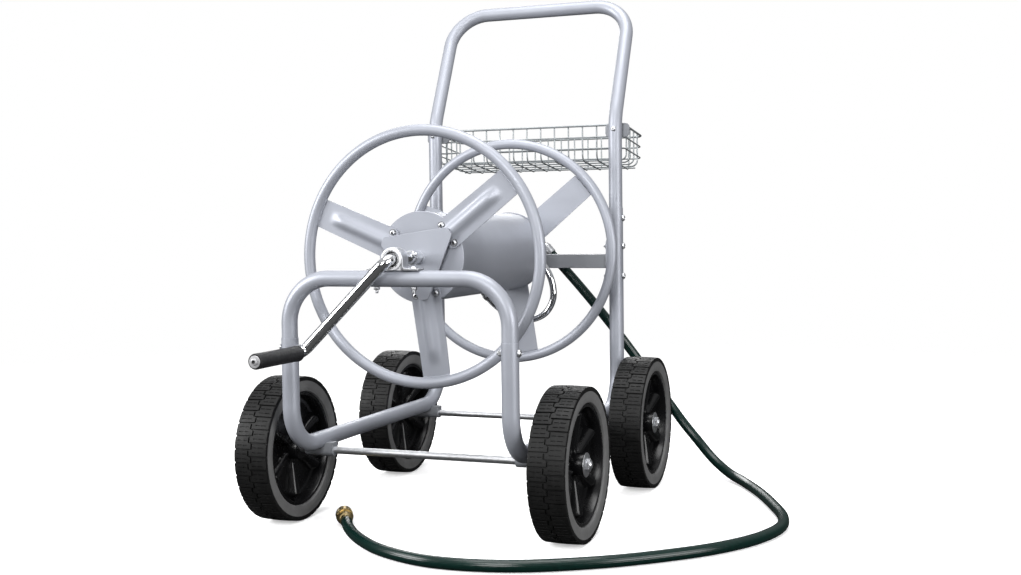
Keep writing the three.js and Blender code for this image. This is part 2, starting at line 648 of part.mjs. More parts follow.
// The leader hose: down from the swivel, out past the right rear wheel and round the cart on the floor.
const hoseFloor = HOSE_DIAMETER / 2 + 0.8;
const hoseStart = at(elbowMouth.x, SWIVEL_Y, REEL_Z + elbowMouth.z);
const hoseWay = at(Math.cos(inletTurn), 0, Math.sin(inletTurn));
const HOSE_POINTS = [
  at(48, 548, 450), at(72, 548, 424), at(105, 552, 386), at(137, 557, 347), at(164, 563, 312),
  at(190, 572, 276), at(214, 581, 241), at(248, 594, 190), at(282, 602, 140), at(310, 602, 103),
  at(340, 596, 70), at(374, 579, 38), at(412, 548, 17), at(452, 498, hoseFloor), at(497, 410, hoseFloor),
  at(538, 312, hoseFloor), at(566, 230, hoseFloor), at(573, 160, hoseFloor), at(553, 82, hoseFloor),
  at(512, 10, hoseFloor), at(455, -54, hoseFloor), at(350, -140, hoseFloor), at(226, -203, hoseFloor),
  at(108, -215, hoseFloor), at(10, -180, hoseFloor), at(-62, -122, hoseFloor), at(-108, -68, 10.8),
];
const hoseEnd = at(-134, -30, 14.2);
const ferruleLength = 14;
const hosePath = new THREE.CatmullRomCurve3([
  hoseStart.clone().addScaledVector(hoseWay, GAP), ...HOSE_POINTS,
  at(-120, -51, 12.2), hoseEnd,
], false, 'centripetal');
const hoseSteps = Math.round(hosePath.getLength() / (HOSE_DIAMETER * 2));
const hoseTrack = hosePath.getSpacedPoints(hoseSteps);
add('leader_hose', tube(hoseTrack, HOSE_DIAMETER, 0, 8), HOSE);
const couplingWay = hoseTrack.at(-1).clone().sub(hoseTrack.at(-2)).normalize();

const couplingBore = 9;
add('hose_coupling', turned([
  [0, 0], [FERRULE_DIAMETER / 2, 0], [FERRULE_DIAMETER / 2, ferruleLength],
  [COUPLING_DIAMETER / 2, ferruleLength + 2], [COUPLING_DIAMETER / 2, COUPLING_LENGTH],
  [12.5, COUPLING_LENGTH], [12.5, COUPLING_LENGTH - 12], [couplingBore, COUPLING_LENGTH - 12],
  [couplingBore, COUPLING_LENGTH - 18], [0, COUPLING_LENGTH - 18],
], 16), BRASS);
const coupling = cart.children.at(-1);
coupling.quaternion.setFromUnitVectors(at(0, 1, 0), couplingWay);
coupling.position.copy(hoseEnd).addScaledVector(couplingWay, GAP);

// ---- basket --------------------------------------------------------------------------------------

const plateFront = REAR_LEG_Y + HANDLE_TUBE / 2 + 2.4;
const basketFront = plateFront + PLATE + GAP;

// An open tray with upright walls, whose rim and floor fall towards the rear.
function basketShell() {
  const outside = moved(
    new THREE.BoxGeometry(BASKET_WIDTH, BASKET_DEPTH, BASKET_HEIGHT), 0, BASKET_DEPTH / 2, -BASKET_HEIGHT / 2,
  );
  const inside = moved(
    new THREE.BoxGeometry(BASKET_WIDTH - 2 * BASKET_WALL, BASKET_DEPTH - 2 * BASKET_WALL, BASKET_HEIGHT),
    0, BASKET_DEPTH / 2, BASKET_WALL - BASKET_HEIGHT / 2,
  );
  const fall = -Math.tan(radians(BASKET_TILT));
  const slope = new THREE.Matrix4().set(1, 0, 0, 0, 0, 1, 0, 0, 0, fall, 1, 0, 0, 0, 0, 1);
  return cut(outside, inside).applyMatrix4(slope);
}

add('basket', basketShell(), WIRE).position.set(0, basketFront, BASKET_TOP);

sides.forEach(([side, sign]) => {
  const x = sign * RAIL_X;
  const outline = new THREE.Shape();
  const half = BASKET_PLATE_WIDTH / 2;
  const corner = 8;
  const low = BASKET_PLATE_HEIGHT / 2;
  [[1, 1], [-1, 1], [-1, -1], [1, -1]].forEach(([right, up], quarter) => {
    for (let step = 0; step <= 3; step += 1) {
      const turn = ((quarter + step / 3) * Math.PI) / 2;
      const px = right * (half - corner) + corner * Math.cos(turn);
      const pz = up * (low - corner) + corner * Math.sin(turn);
      if (quarter === 0 && step === 0) outline.moveTo(px, pz);
      else outline.lineTo(px, pz);
    }
  });
  add(`basket_plate_${side}`, moved(plate(outline, PLATE, plateFront), x, 0, BASKET_TOP - 14), DARK_PAINT);
});

// ---- bolts ---------------------------------------------------------------------------------------

// A through bolt along X: its round head outside the rail and its nut inside.
function throughBolt(sign, y, z, grip) {
  const head = moved(rod(BOLT_HEAD, 4, 10), 0, RAIL_DIAMETER / 2 + GAP + 2, 0);
  const shank = moved(rod(BOLT, RAIL_DIAMETER + grip + 10, 8), 0, -(grip + 6) / 2 + 1, 0);
  const nut = moved(rod(BOLT_NUT / Math.cos(Math.PI / 6), 5, 6), 0, -RAIL_DIAMETER / 2 - grip - GAP - 2.5, 0);
  const bolt = alongX(join(head, shank, nut));
  return moved(sign > 0 ? bolt : bolt.rotateZ(Math.PI), sign * RAIL_X, y, z);
}

sides.forEach(([side, sign]) => {
  add(`hoop_bolt_${side}`, throughBolt(sign, FRONT_LEG_Y, FRONT_BOLT_Z, 0), ZINC);
  add(`handle_bolt_${side}`, throughBolt(sign, REAR_LEG_Y, REAR_BOLT_Z, 0), ZINC);
  BRACE_BOLTS_Z.forEach((z, index) => {
    const place = ['lower', 'upper'][index];
    add(`brace_bolt_${place}_${side}`, throughBolt(sign, REAR_LEG_Y, z, PLATE + GAP), ZINC);
  });
});

// ---- the whole, with its origin in the middle of the floor it covers ---------------------------------

const frontmost = gripEnd - 4.5;
const rearmost = basketFront + BASKET_DEPTH;
cart.position.y = -(frontmost + rearmost) / 2;

export default cart;
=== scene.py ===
"""Garden hose reel cart: fine pieces, finishes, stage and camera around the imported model.

The pieces are drawn in millimetres with Y counted from the front axle, and are placed by the frame's own axle.
"""

import math

import bmesh
import bpy
from bpy.props import FloatProperty, FloatVectorProperty, IntProperty, PointerProperty
from mathutils import Matrix, Vector


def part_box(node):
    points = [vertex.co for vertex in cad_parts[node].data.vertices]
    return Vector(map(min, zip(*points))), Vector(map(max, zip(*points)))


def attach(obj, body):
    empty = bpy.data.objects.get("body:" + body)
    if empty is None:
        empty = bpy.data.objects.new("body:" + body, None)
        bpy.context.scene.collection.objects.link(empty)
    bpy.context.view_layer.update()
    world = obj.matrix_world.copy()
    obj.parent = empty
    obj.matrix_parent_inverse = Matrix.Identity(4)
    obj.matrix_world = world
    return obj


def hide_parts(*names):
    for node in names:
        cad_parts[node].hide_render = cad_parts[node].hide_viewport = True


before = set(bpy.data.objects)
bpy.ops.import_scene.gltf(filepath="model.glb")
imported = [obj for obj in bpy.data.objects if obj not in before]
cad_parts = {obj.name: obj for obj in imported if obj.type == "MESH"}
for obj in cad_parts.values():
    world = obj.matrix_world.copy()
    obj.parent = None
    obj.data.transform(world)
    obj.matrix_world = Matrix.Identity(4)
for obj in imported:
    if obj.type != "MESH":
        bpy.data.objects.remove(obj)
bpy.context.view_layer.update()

bl_info = {
    "name": "Garden hose reel cart",
    "version": (1, 0, 0),
    "blender": (4, 5, 0),
    "location": "View3D > Sidebar > Hose cart",
    "description": "Builds a wheeled garden hose reel cart around its packed model",
    "category": "Object",
}

MM = 0.001
TAU = 2 * math.pi


def centre(node):
    low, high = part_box(node)
    return (low + high) / 2


AXLE_Y = centre("front_axle").y
AXLE_Z = centre("front_axle").z / MM
WHEELBASE = (centre("rear_axle").y - AXLE_Y) / MM
WHEEL_X = centre("tyre_front_right").x / MM
RAIL_X = centre("side_rail_right").x / MM
REEL_Z = centre("reel_shaft").z / MM
RING_Y = {end: (centre(f"reel_ring_{end}").y - AXLE_Y) / MM for end in ("front", "rear")}
FRONT_LEG_Y = -97
REAR_LEG_Y = 506
SIDES = (("left", -1), ("right", 1))
GAP = 0.3
QUARTER_TURN = Matrix.Rotation(math.pi / 2, 4, "Z")


# ---- settings --------------------------------------------------------------------------------------


def colour_property(name, description, default):
    return FloatVectorProperty(
        name=name, description=description, default=default, subtype="COLOR", size=3, min=0, max=1
    )


class CartFinishes(bpy.types.PropertyGroup):
    paint: colour_property("Paint", "Powder coat of the tubes and the reel", (0.32, 0.335, 0.378))
    # The brace's own darker paint. On the axle brackets it is painted shade, for the shade under the rails.
    brace_paint_and_bracket_shade: colour_property("Brace paint", "Paint of the brace and brackets", (0.24, 0.25, 0.27))
    rubber: colour_property("Rubber", "Tyre rubber", (0.0055, 0.0055, 0.0055))
    # The tyre wall is the tread's rubber painted far lighter: painted light where the sidewalls catch the
    # lamps.
    wall: colour_property("Tyre wall with painted light", "Smooth side of the tyres", (0.13, 0.13, 0.13))
    rim: colour_property("Rim", "Wheel plastic", (0.004, 0.004, 0.0045))
    hose: colour_property("Hose", "Vinyl of the leader hose", (0.002, 0.014, 0.011))
    brass: colour_property("Brass", "Brass of the coupling and swivel", (0.46, 0.36, 0.18))
    grip: colour_property("Grip", "Sleeve of the crank grip", (0.007, 0.007, 0.008))
    wire: colour_property("Wire", "Coating of the basket wire", (0.30, 0.32, 0.33))


class CartSizes(bpy.types.PropertyGroup):
    tread_blocks: IntProperty(
        name="Tread blocks", description="Blocks in one row round a tyre", default=35, min=12, max=60
    )
    tread_depth: FloatProperty(
        name="Tread depth", description="Depth of the tread's grooves", default=2.8 * MM, unit="LENGTH"
    )
    wheel_ribs: IntProperty(
        name="Wheel ribs", description="Raised ribs on a face of a rim", default=6, min=3, max=10
    )
    spoke_rib: FloatProperty(
        name="Spoke rib", description="Height of the pressed rib of a spoke", default=6.5 * MM, unit="LENGTH"
    )
    hose_diameter: FloatProperty(
        name="Hose", description="Outer diameter of the leader hose", default=19 * MM, unit="LENGTH"
    )
    hose_ridges: IntProperty(
        name="Hose ridges", description="Fine ridges along the hose", default=30, min=8, max=60
    )
    wire: FloatProperty(
        name="Wire", description="Thickness of the basket's wires", default=3 * MM, unit="LENGTH"
    )
    wire_spacing: FloatProperty(
        name="Wire spacing", description="Between the basket's upright wires", default=30 * MM, unit="LENGTH"
    )


class CartStage(bpy.types.PropertyGroup):
    floor: colour_property("Floor", "Colour of the floor", (0.93, 0.93, 0.93))
    key: FloatProperty(name="Key", description="Power of the main light", default=125, unit="POWER")
    fill: FloatProperty(name="Fill", description="Power of the fill light", default=55, unit="POWER")
    surround: FloatProperty(name="Surround", description="Strength of the dim surround", default=0.5)


# ---- shapes ----------------------------------------------------------------------------------------


class Shape:
    """Points in millimetres and the faces between them."""

    def __init__(self):
        self.points = []
        self.faces = []

    def add(self, part, place=None):
        points, faces = part
        first = len(self.points)
        place = place or Matrix.Identity(4)
        self.points.extend(place @ Vector(point) for point in points)
        self.faces.extend(tuple(first + index for index in face) for face in faces)
        return self


def shift(x, y, z):
    return Matrix.Translation((x, y, z))


def aim(origin, direction):
    """Turns the +Y axis to a direction and moves it to a point."""
    turn = Vector((0, 1, 0)).rotation_difference(Vector(direction))
    return Matrix.Translation(origin) @ turn.to_matrix().to_4x4()


def skin(rings, loop=False, capped=True):
    """Faces between rings of points of equal count."""
    sides = len(rings[0])
    points = [point for ring in rings for point in ring]
    faces = []
    for row in range(len(rings) if loop else len(rings) - 1):
        low = row * sides
        high = ((row + 1) % len(rings)) * sides
        for side in range(sides):
            after = (side + 1) % sides
            faces.append((low + side, low + after, high + after, high + side))
    if capped and not loop:
        faces.append(tuple(range(sides)))
        faces.append(tuple((len(rings) - 1) * sides + side for side in range(sides)))
    return points, faces


def cross_directions(path, loop):
    """Two crosswise directions at each point of a path, carried along it without twist."""
    side = None
    found = []
    for index in range(len(path)):
        before = path[index - 1] if loop or index else path[0]
        after = path[(index + 1) % len(path)] if loop else path[min(index + 1, len(path) - 1)]
        way = (after - before).normalized()
        side = way.orthogonal() if side is None else side - way * side.dot(way)
        side.normalize()
        found.append((side.copy(), way.cross(side)))
    return found


def path_rings(path, radius, sides, loop=False, waves=0, wave=0.0):
    path = [Vector(point) for point in path]
    radii = radius if isinstance(radius, list) else [radius] * len(path)
    rings = []
    for point, here, (side, up) in zip(path, radii, cross_directions(path, loop)):
        ring = []
        for step in range(sides):
            angle = TAU * step / sides
            reach = here + (wave * math.cos(waves * angle) - wave if waves else 0)
            ring.append(point + (side * math.cos(angle) + up * math.sin(angle)) * reach)
        rings.append(ring)
    return rings


def rod(path, radius, sides=24, loop=False):
    return skin(path_rings(path, radius, sides, loop), loop)


def pipe(path, outer, inner, sides=32):
    """A hollow tube with open ends."""
    outside = path_rings(path, outer, sides)
    inside = path_rings(path, inner, sides)
    return skin(outside + inside[::-1], loop=True)


def ring_at(radius, along, steps):
    """Points round the +Y axis."""
    angles = [TAU * step / steps for step in range(steps)]
    return [(radius * math.sin(angle), along, radius * math.cos(angle)) for angle in angles]


def turned(profile, steps=40, closed=False):
    """A piece turned about +Y from points of (distance from the axis, place along it)."""
    return skin([ring_at(radius, along, steps) for radius, along in profile], loop=closed, capped=False)


def arc(radius, steps, start=0.0, sweep=math.pi):
    """Points of a flat arc with both its ends."""
    angles = [start + sweep * step / steps for step in range(steps + 1)]
    return [(radius * math.cos(angle), radius * math.sin(angle)) for angle in angles]


def prism(outline, low, high):
    """An outline in X and Z given thickness along Y."""
    return skin([[(x, low, z) for x, z in outline], [(x, high, z) for x, z in outline]])

def corner_arc(before, here, after, radius, steps):
    """Points of the arc that rounds the corner at here."""
    arrive = (here - before).normalized()
    leave = (after - here).normalized()
    turn = arrive.angle(leave)
    start = here - arrive * radius * math.tan(turn / 2)
    middle = start + (leave - arrive * arrive.dot(leave)).normalized() * radius
    axis = arrive.cross(leave).normalized()
    return [middle + Matrix.Rotation(turn * step / steps, 3, axis) @ (start - middle)
            for step in range(steps + 1)]


def bent(corners, radii, steps=14):
    """A polyline with its corners rounded to bend radii."""
    corners = [Vector(corner) for corner in corners]
    if not isinstance(radii, (list, tuple)):
        radii = [radii] * (len(corners) - 2)
    path = [corners[0]]
    for index, radius in enumerate(radii):
        path.extend(corner_arc(*corners[index:index + 3], radius, steps))
    return [*path, corners[-1]]


def soft_outline(corners, radius, steps=6):
    """A closed flat outline with every corner rounded."""
    flat = [Vector((x, z, 0)) for x, z in corners]
    outline = []
    for index, here in enumerate(flat):
        after = flat[(index + 1) % len(flat)]
        outline += [(spot.x, spot.y) for spot in corner_arc(flat[index - 1], here, after, radius, steps)]
    return outline


def smooth_route(points, steps):
    """The centripetal curve through the points."""
    points = [Vector(point) for point in points]
    points = [points[0] * 2 - points[1], *points, points[-1] * 2 - points[-2]]
    route = []
    for index in range(1, len(points) - 2):
        a, b, c, d = points[index - 1:index + 3]
        ab, bc, cd = (math.sqrt((q - p).length) for p, q in ((a, b), (b, c), (c, d)))
        leave = ((b - a) / ab - (c - a) / (ab + bc) + (c - b) / bc) * bc
        arrive = ((c - b) / bc - (d - b) / (bc + cd) + (d - c) / cd) * bc
        for step in range(steps):
            t = step / steps
            route.append(
                b
                + leave * t
                + ((c - b) * 3 - leave * 2 - arrive) * t ** 2
                + ((b - c) * 2 + leave + arrive) * t ** 3
            )
    route.append(points[-2])
    return route


def dome_head(radius, height):
    """A round screw head with a socket."""
    return turned([
        (0, 0), (radius, 0), (radius, height * 0.35), (radius * 0.93, height * 0.62),
        (radius * 0.75, height * 0.86), (radius * 0.5, height), (radius * 0.42, height * 0.96),
        (radius * 0.36, height * 0.4), (0, height * 0.36),
    ], 28)


def hex_nut(across, height):
    reach = across / math.sqrt(3)
    return turned([(0, 0), (reach * 0.94, 0), (reach, height * 0.12), (reach, height * 0.88),
                   (reach * 0.94, height), (0, height)], 6)


def thread(radius, length, pitch=1.2):
    """A screw end: a rod with fine rings and a rounded tip."""
    profile = [(0, 0)]
    turns = int(length / pitch)
    for step in range(turns):
        profile += [(radius, step * pitch), (radius * 0.9, (step + 0.5) * pitch)]
    return turned([*profile, (radius * 0.8, length), (0, length)], 20)


def bead(path, radius, seed):
    """A weld: a lumpy run of metal."""
    lumps = [radius * (1 + 0.22 * math.sin(seed + index * 1.9)) for index in range(len(path))]
    lumps[0] *= 0.5
    lumps[-1] *= 0.5
    return rod(path, lumps, 10)


# ---- pieces ----------------------------------------------------------------------------------------


SOFT_ANGLE = math.radians(32)  # edges sharper than this are softened


def mesh_of(name, shape, sharp=32):
    mesh = bpy.data.meshes.new(name)
    mesh.from_pydata([point * MM for point in shape.points], [], shape.faces)
    form = bmesh.new()
    form.from_mesh(mesh)
    bmesh.ops.remove_doubles(form, verts=form.verts, dist=1e-6)
    bmesh.ops.recalc_face_normals(form, faces=form.faces)
    form.to_mesh(mesh)
    form.free()
    mesh.polygons.foreach_set("use_smooth", [True] * len(mesh.polygons))
    mesh.set_sharp_from_angle(angle=math.radians(sharp))
    return mesh


def place_piece(name, mesh, look, body, replaces=(), edge=0.0, where=(0, 0, 0)):
    """Adds a piece, softens its edges and makes it ride on its body."""
    material, slot = look
    piece = bpy.data.objects.new(name, mesh)
    bpy.context.scene.collection.objects.link(piece)
    if not mesh.materials:
        mesh.materials.append(material)
    piece.matrix_world = shift(where[0] * MM, where[1] * MM + AXLE_Y, where[2] * MM)
    if edge:
        bevel = piece.modifiers.new("Soft edges", "BEVEL")
        bevel.width = edge * MM
        bevel.segments = 3
        bevel.limit_method = "ANGLE"
        bevel.angle_limit = SOFT_ANGLE
        bevel.harden_normals = True
    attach(piece, body)
    if replaces:
        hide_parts(*replaces)
    return piece


def make(name, shape, look, body="frame", replaces=(), edge=0.0, sharp=32):
    return place_piece(name, mesh_of(name, shape, sharp), look, body, replaces, edge)


# ---- finishes --------------------------------------------------------------------------------------


GRAIN_DEPTH = 0.0004
PATCH_RANGE = (0.3, 0.7)  # where the noise has most of its values


def feed(node, values):
    """Sets a node's inputs, each by a value or by a link from another node's output."""
    for name, value in values.items():
        if isinstance(value, bpy.types.NodeSocket):
            node.id_data.links.new(value, node.inputs[name])
        else:
            node.inputs[name].default_value = value
    return node


def add_node(tree, kind, values=None):
    return feed(tree.nodes.new(f"ShaderNode{kind}"), values or {})


def map_range(tree, value, source, low, high):
    """Spreads a value from its range over low to high."""
    return add_node(tree, "MapRange", {
        "Value": value, "From Min": source[0], "From Max": source[1], "To Min": low, "To Max": high,
    })


def finish(name, slot, colour, roughness, metallic=0.0, shine=0.5, mottle=0.06, patch=22.0, grain=0.1,
           grain_size=1400.0, spread=0.05):
    """A surface with patches of colour and gloss, and a fine grain."""
    found = bpy.data.materials.get(name)
    if found:
        return found, slot
    material = bpy.data.materials.new(name)
    material.use_nodes = True
    tree = material.node_tree
    place = add_node(tree, "TexCoord").outputs["Object"]

    def noise(size, detail):
        return add_node(tree, "TexNoise", {"Vector": place, "Scale": size, "Detail": detail}).outputs["Fac"]

    tint = add_node(tree, "ValToRGB", {"Fac": noise(patch, 4)})
    for end, spot, share in zip(tint.color_ramp.elements, PATCH_RANGE, (1 - mottle, 1 + mottle)):
        end.position = spot
        end.color = (*[min(1, value * share) for value in colour], 1)
    gloss = map_range(tree, noise(patch * 2.7, 5), PATCH_RANGE, max(0.02, roughness - spread),
                      roughness + spread)
    bump = add_node(tree, "Bump", {
        "Strength": grain, "Distance": GRAIN_DEPTH, "Height": noise(grain_size, 3),
    })
    feed(tree.nodes["Principled BSDF"], {
        "Metallic": metallic,
        "Specular IOR Level": shine,
        "Base Color": tint.outputs["Color"],
        "Roughness": gloss.outputs["Result"],
        "Normal": bump.outputs["Normal"],
    })
    return material, slot


def finishes():
    """The cart's finishes by name."""
    colours = bpy.context.scene.cart_finishes
    return {
        "paint": finish("Grey powder coat", "grey_paint", colours.paint, 0.45, metallic=0.3, mottle=0.04,
                        patch=9, grain=0.05, grain_size=300),
        "brace": finish("Brace paint", "dark_paint", colours.brace_paint_and_bracket_shade, 0.42, metallic=0.2, mottle=0.08,
                        patch=14, grain=0.25, grain_size=800),
        "chrome": finish("Bright chrome", "bright_chrome", (0.84, 0.85, 0.86), 0.05, metallic=1, mottle=0.02,
                         grain=0.01, grain_size=200, spread=0.02),
        "zinc": finish("Zinc plate", "zinc_steel", (0.66, 0.67, 0.69), 0.38, metallic=1, mottle=0.1,
                       patch=120, grain=0.04, grain_size=500, spread=0.05),
        "rubber": finish("Tyre rubber", "tyre_rubber", colours.rubber, 0.5, shine=0.22, mottle=0.25, patch=60,
                         grain=0.3, grain_size=900, spread=0.08),
        # The same rubber as the tread, painted far lighter as painted light on the sidewalls.
        "wall": finish("Tyre wall with painted light", "tyre_rubber", colours.wall, 0.5, shine=0.3, mottle=0.1, patch=40),
        "rim": finish("Wheel plastic", "wheel_plastic", colours.rim, 0.25, shine=0.35, mottle=0.2, grain=0.06,
                      grain_size=500, spread=0.04),
        "bush": finish("Bush plastic", "bush_plastic", (0.72, 0.73, 0.75), 0.3, mottle=0.05, grain=0.05),
        "grip": finish("Grip sleeve", "grip_foam", colours.grip, 0.55, mottle=0.3, patch=90, grain=0.7,
                       grain_size=1100, spread=0.1),
        "brass": finish("Brass", "yellow_brass", colours.brass, 0.32, metallic=1, mottle=0.14, patch=70,
                        grain=0.1, spread=0.08),
        "hose": finish("Hose vinyl", "hose_green", colours.hose, 0.2, shine=0.4, mottle=0.22, patch=160,
                       grain=0.25, grain_size=420, spread=0.05),
        "wire": finish("Coated wire", "basket_wire", colours.wire, 0.36, metallic=0.5, mottle=0.1, grain=0.2),
        "steel": finish("Cut steel", "zinc_steel", (0.42, 0.42, 0.43), 0.45, metallic=0.6, mottle=0.1),
        # Near-black for painted shade in the bush mouths, the screw sockets and the grip cap's hole.
        "painted_shade": finish("Painted shade black", "bush_plastic", (0.006, 0.006, 0.006), 0.5, mottle=0.2),
    }


# ---- stage -----------------------------------------------------------------------------------------


CAMERA_SPOT = Vector((880.8, -1895.6, 513.5))
CAMERA_RIGHT = Vector((0.93504, 0.35432, -0.01247))
CAMERA_UP = Vector((-0.00608, 0.05119, 0.99867))
CAMERA_LENS = 43.833
LIGHT_TARGET = Vector((0, 0, 0.45))
SKY = (  # places from straight down to straight up, and the surround's grey and blue there
    (0.0, 0.3, 0.3), (0.40, 0.25, 0.255), (0.47, 0.10, 0.102), (0.58, 0.14, 0.1428), (0.70, 0.6, 0.612),
    (0.85, 1.0, 1.02), (1.0, 1.1, 1.12),
)
FLOOR_REACH = 9
FLOOR_FADE = (1.1, 3.2)
FLOOR_DROP = 0.0004
FLOOR_GLOW = 0.42


def grey(value):
    return (value, value, value, 1)


def add_light(name, spot, size, power):
    data = bpy.data.lights.new(name, "AREA")
    data.shape = "RECTANGLE"
    data.size, data.size_y = size
    data.energy = power
    light = bpy.data.objects.new(name, data)
    light.location = spot
    light.rotation_euler = (LIGHT_TARGET - Vector(spot)).to_track_quat("-Z", "Y").to_euler()
    bpy.context.scene.collection.objects.link(light)


def make_world(strength):
    """A dim studio for the bright metal to mirror, pale overhead, that looks white where it is seen."""
    world = bpy.data.worlds.new("Studio")
    bpy.context.scene.world = world
    world.use_nodes = True
    tree = world.node_tree
    way = add_node(tree, "TexCoord").outputs["Generated"]
    parts = add_node(tree, "SeparateXYZ", {"Vector": way})
    height = map_range(tree, parts.outputs["Z"], (-1, 1), 0, 1)
    band = add_node(tree, "ValToRGB", {"Fac": height.outputs["Result"]})
    stops = band.color_ramp.elements
    stops[0].position, stops[1].position = SKY[0][0], SKY[-1][0]
    for spot, _, _ in SKY[1:-1]:
        stops.new(spot)
    for stop, (_, value, blue) in zip(stops, SKY):
        stop.color = (value, value, blue, 1)
    shade = feed(tree.nodes["Background"], {"Color": band.outputs["Color"], "Strength": strength})
    plain = add_node(tree, "Background", {"Color": grey(1), "Strength": 1.0})
    mix = add_node(tree, "MixShader", {
        "Fac": add_node(tree, "LightPath").outputs["Is Camera Ray"],
        1: shade.outputs["Background"],
        2: plain.outputs["Background"],
    })
    feed(tree.nodes["World Output"], {"Surface": mix.outputs["Shader"]})


def make_floor(colour):
    """A wide pale floor that fades into the white surround, with soft shadows lifted by its own glow."""
    mesh = bpy.data.meshes.new("floor")
    corners = [(x * FLOOR_REACH, y * FLOOR_REACH, 0) for x, y in ((-1, -1), (1, -1), (1, 1), (-1, 1))]
    mesh.from_pydata(corners, [], [(0, 1, 2, 3)])
    material, _ = finish("Pale floor", None, colour, 0.85, shine=0.1, mottle=0.006, patch=0.5, grain=0.02)
    tree = material.node_tree
    shader = feed(tree.nodes["Principled BSDF"], {"Emission Color": grey(1), "Emission Strength": FLOOR_GLOW})
    place = add_node(tree, "TexCoord").outputs["Object"]
    away = add_node(tree, "VectorMath", {0: place})
    away.operation = "LENGTH"
    fade = map_range(tree, away.outputs["Value"], FLOOR_FADE, 0, 1)
    fade.interpolation_type = "SMOOTHSTEP"
    shade = add_node(tree, "BsdfDiffuse", {"Color": grey(0.04)})
    seen = add_node(tree, "MixShader", {
        "Fac": add_node(tree, "LightPath").outputs["Is Camera Ray"],
        1: shade.outputs["BSDF"],
        2: shader.outputs["BSDF"],
    })
    clear = add_node(tree, "BsdfTransparent")
    mix = add_node(tree, "MixShader", {
        "Fac": fade.outputs["Result"], 1: seen.outputs["Shader"], 2: clear.outputs["BSDF"],
    })
    feed(tree.nodes["Material Output"], {"Surface": mix.outputs["Shader"]})
    mesh.materials.append(material)
    floor = bpy.data.objects.new("floor", mesh)
    floor.location.z = -FLOOR_DROP
    bpy.context.scene.collection.objects.link(floor)


class CART_OT_stage(bpy.types.Operator):
    """Adds the floor, the lights and the camera"""

    bl_idname = "cart.stage"
    bl_label = "Stage and camera"

    def execute(self, context):
        settings = context.scene.cart_stage
        context.scene.view_settings.view_transform = "Standard"
        make_world(settings.surround)
        make_floor(settings.floor)
        for name, spot, size, power in (
            ("key", (-2.7, -1.9, 1.5), (1.7, 1.7), settings.key),
            ("fill", (3.0, -1.3, 0.9), (1.7, 1.5), settings.fill * 1.3),
            ("front", (0.5, -3.3, 1.7), (1.1, 1.3), settings.fill * 1.25),
            ("top", (0.1, -0.2, 3.0), (2.0, 2.0), settings.key * 0.6),
            ("back", (-1.2, 3.0, 1.7), (1.5, 1.0), settings.fill * 0.6),
        ):
            add_light(name, spot, size, power)
        data = bpy.data.cameras.new("camera")
        data.lens = CAMERA_LENS
        data.sensor_width = 36
        data.clip_end = 60
        camera = bpy.data.objects.new("camera", data)
        back = CAMERA_RIGHT.cross(CAMERA_UP)
        turn = Matrix((CAMERA_RIGHT, CAMERA_UP, back)).transposed().to_4x4()
        camera.matrix_world = Matrix.Translation(CAMERA_SPOT * MM + Vector((0, AXLE_Y, 0))) @ turn
        context.scene.collection.objects.link(camera)
        context.scene.camera = camera
        return {"FINISHED"}


# ---- leader hose -----------------------------------------------------------------------------------


SWIVEL_Y = 548
INLET_TURN = math.radians(-49)
ELBOW_RISE = 11
ELBOW_BEND = 12
ELBOW_SPOUT = 14
HOSE_FLOOR = 10.3
HOSE_POINTS = (
    (48, 548, 450), (72, 548, 424), (105, 552, 386), (137, 557, 347), (164, 563, 312), (190, 572, 276),
    (214, 581, 241), (248, 594, 190), (282, 602, 140), (310, 602, 103), (340, 596, 70), (374, 579, 38),
    (412, 548, 17), (452, 498, HOSE_FLOOR), (497, 410, HOSE_FLOOR), (538, 312, HOSE_FLOOR),
    (566, 230, HOSE_FLOOR), (573, 160, HOSE_FLOOR), (553, 82, HOSE_FLOOR), (512, 10, HOSE_FLOOR),
    (455, -54, HOSE_FLOOR), (350, -140, HOSE_FLOOR), (226, -203, HOSE_FLOOR), (108, -215, HOSE_FLOOR),
    (10, -180, HOSE_FLOOR), (-62, -122, HOSE_FLOOR), (-108, -68, 10.8), (-120, -51, 12.2),
    (-134, -30, 14.2),
)


def elbow_path():
    """The inlet elbow's path, from the swivel up and over to the hose."""
    corner = ELBOW_RISE + ELBOW_BEND * math.tan((math.pi / 2 - INLET_TURN) / 2)
    reach = corner - ELBOW_RISE + ELBOW_SPOUT
    way = Vector((math.cos(INLET_TURN), 0, math.sin(INLET_TURN)))
    end = Vector((0, 0, corner)) + way * reach
    base = Vector((0, SWIVEL_Y, REEL_Z))
    path = bent([base, base + Vector((0, 0, corner)), base + end], ELBOW_BEND, 12)
    return path, way


KNURL_TEETH = 44
KNURL_DEPTH = 0.7


def knurled(radius, low, high):
    """Rings of a sleeve with a toothed outside."""
    steps = KNURL_TEETH * 4
    rings = []
    for along, share in ((low, 0.93), (low + 1, 1), (high - 1, 1), (high, 0.93)):
        crest = ring_at(radius * share, along, steps)
        root = ring_at((radius - KNURL_DEPTH) * share, along, steps)
        rings.append([root[step] if step % 4 in (2, 3) else crest[step] for step in range(steps)])
    return rings


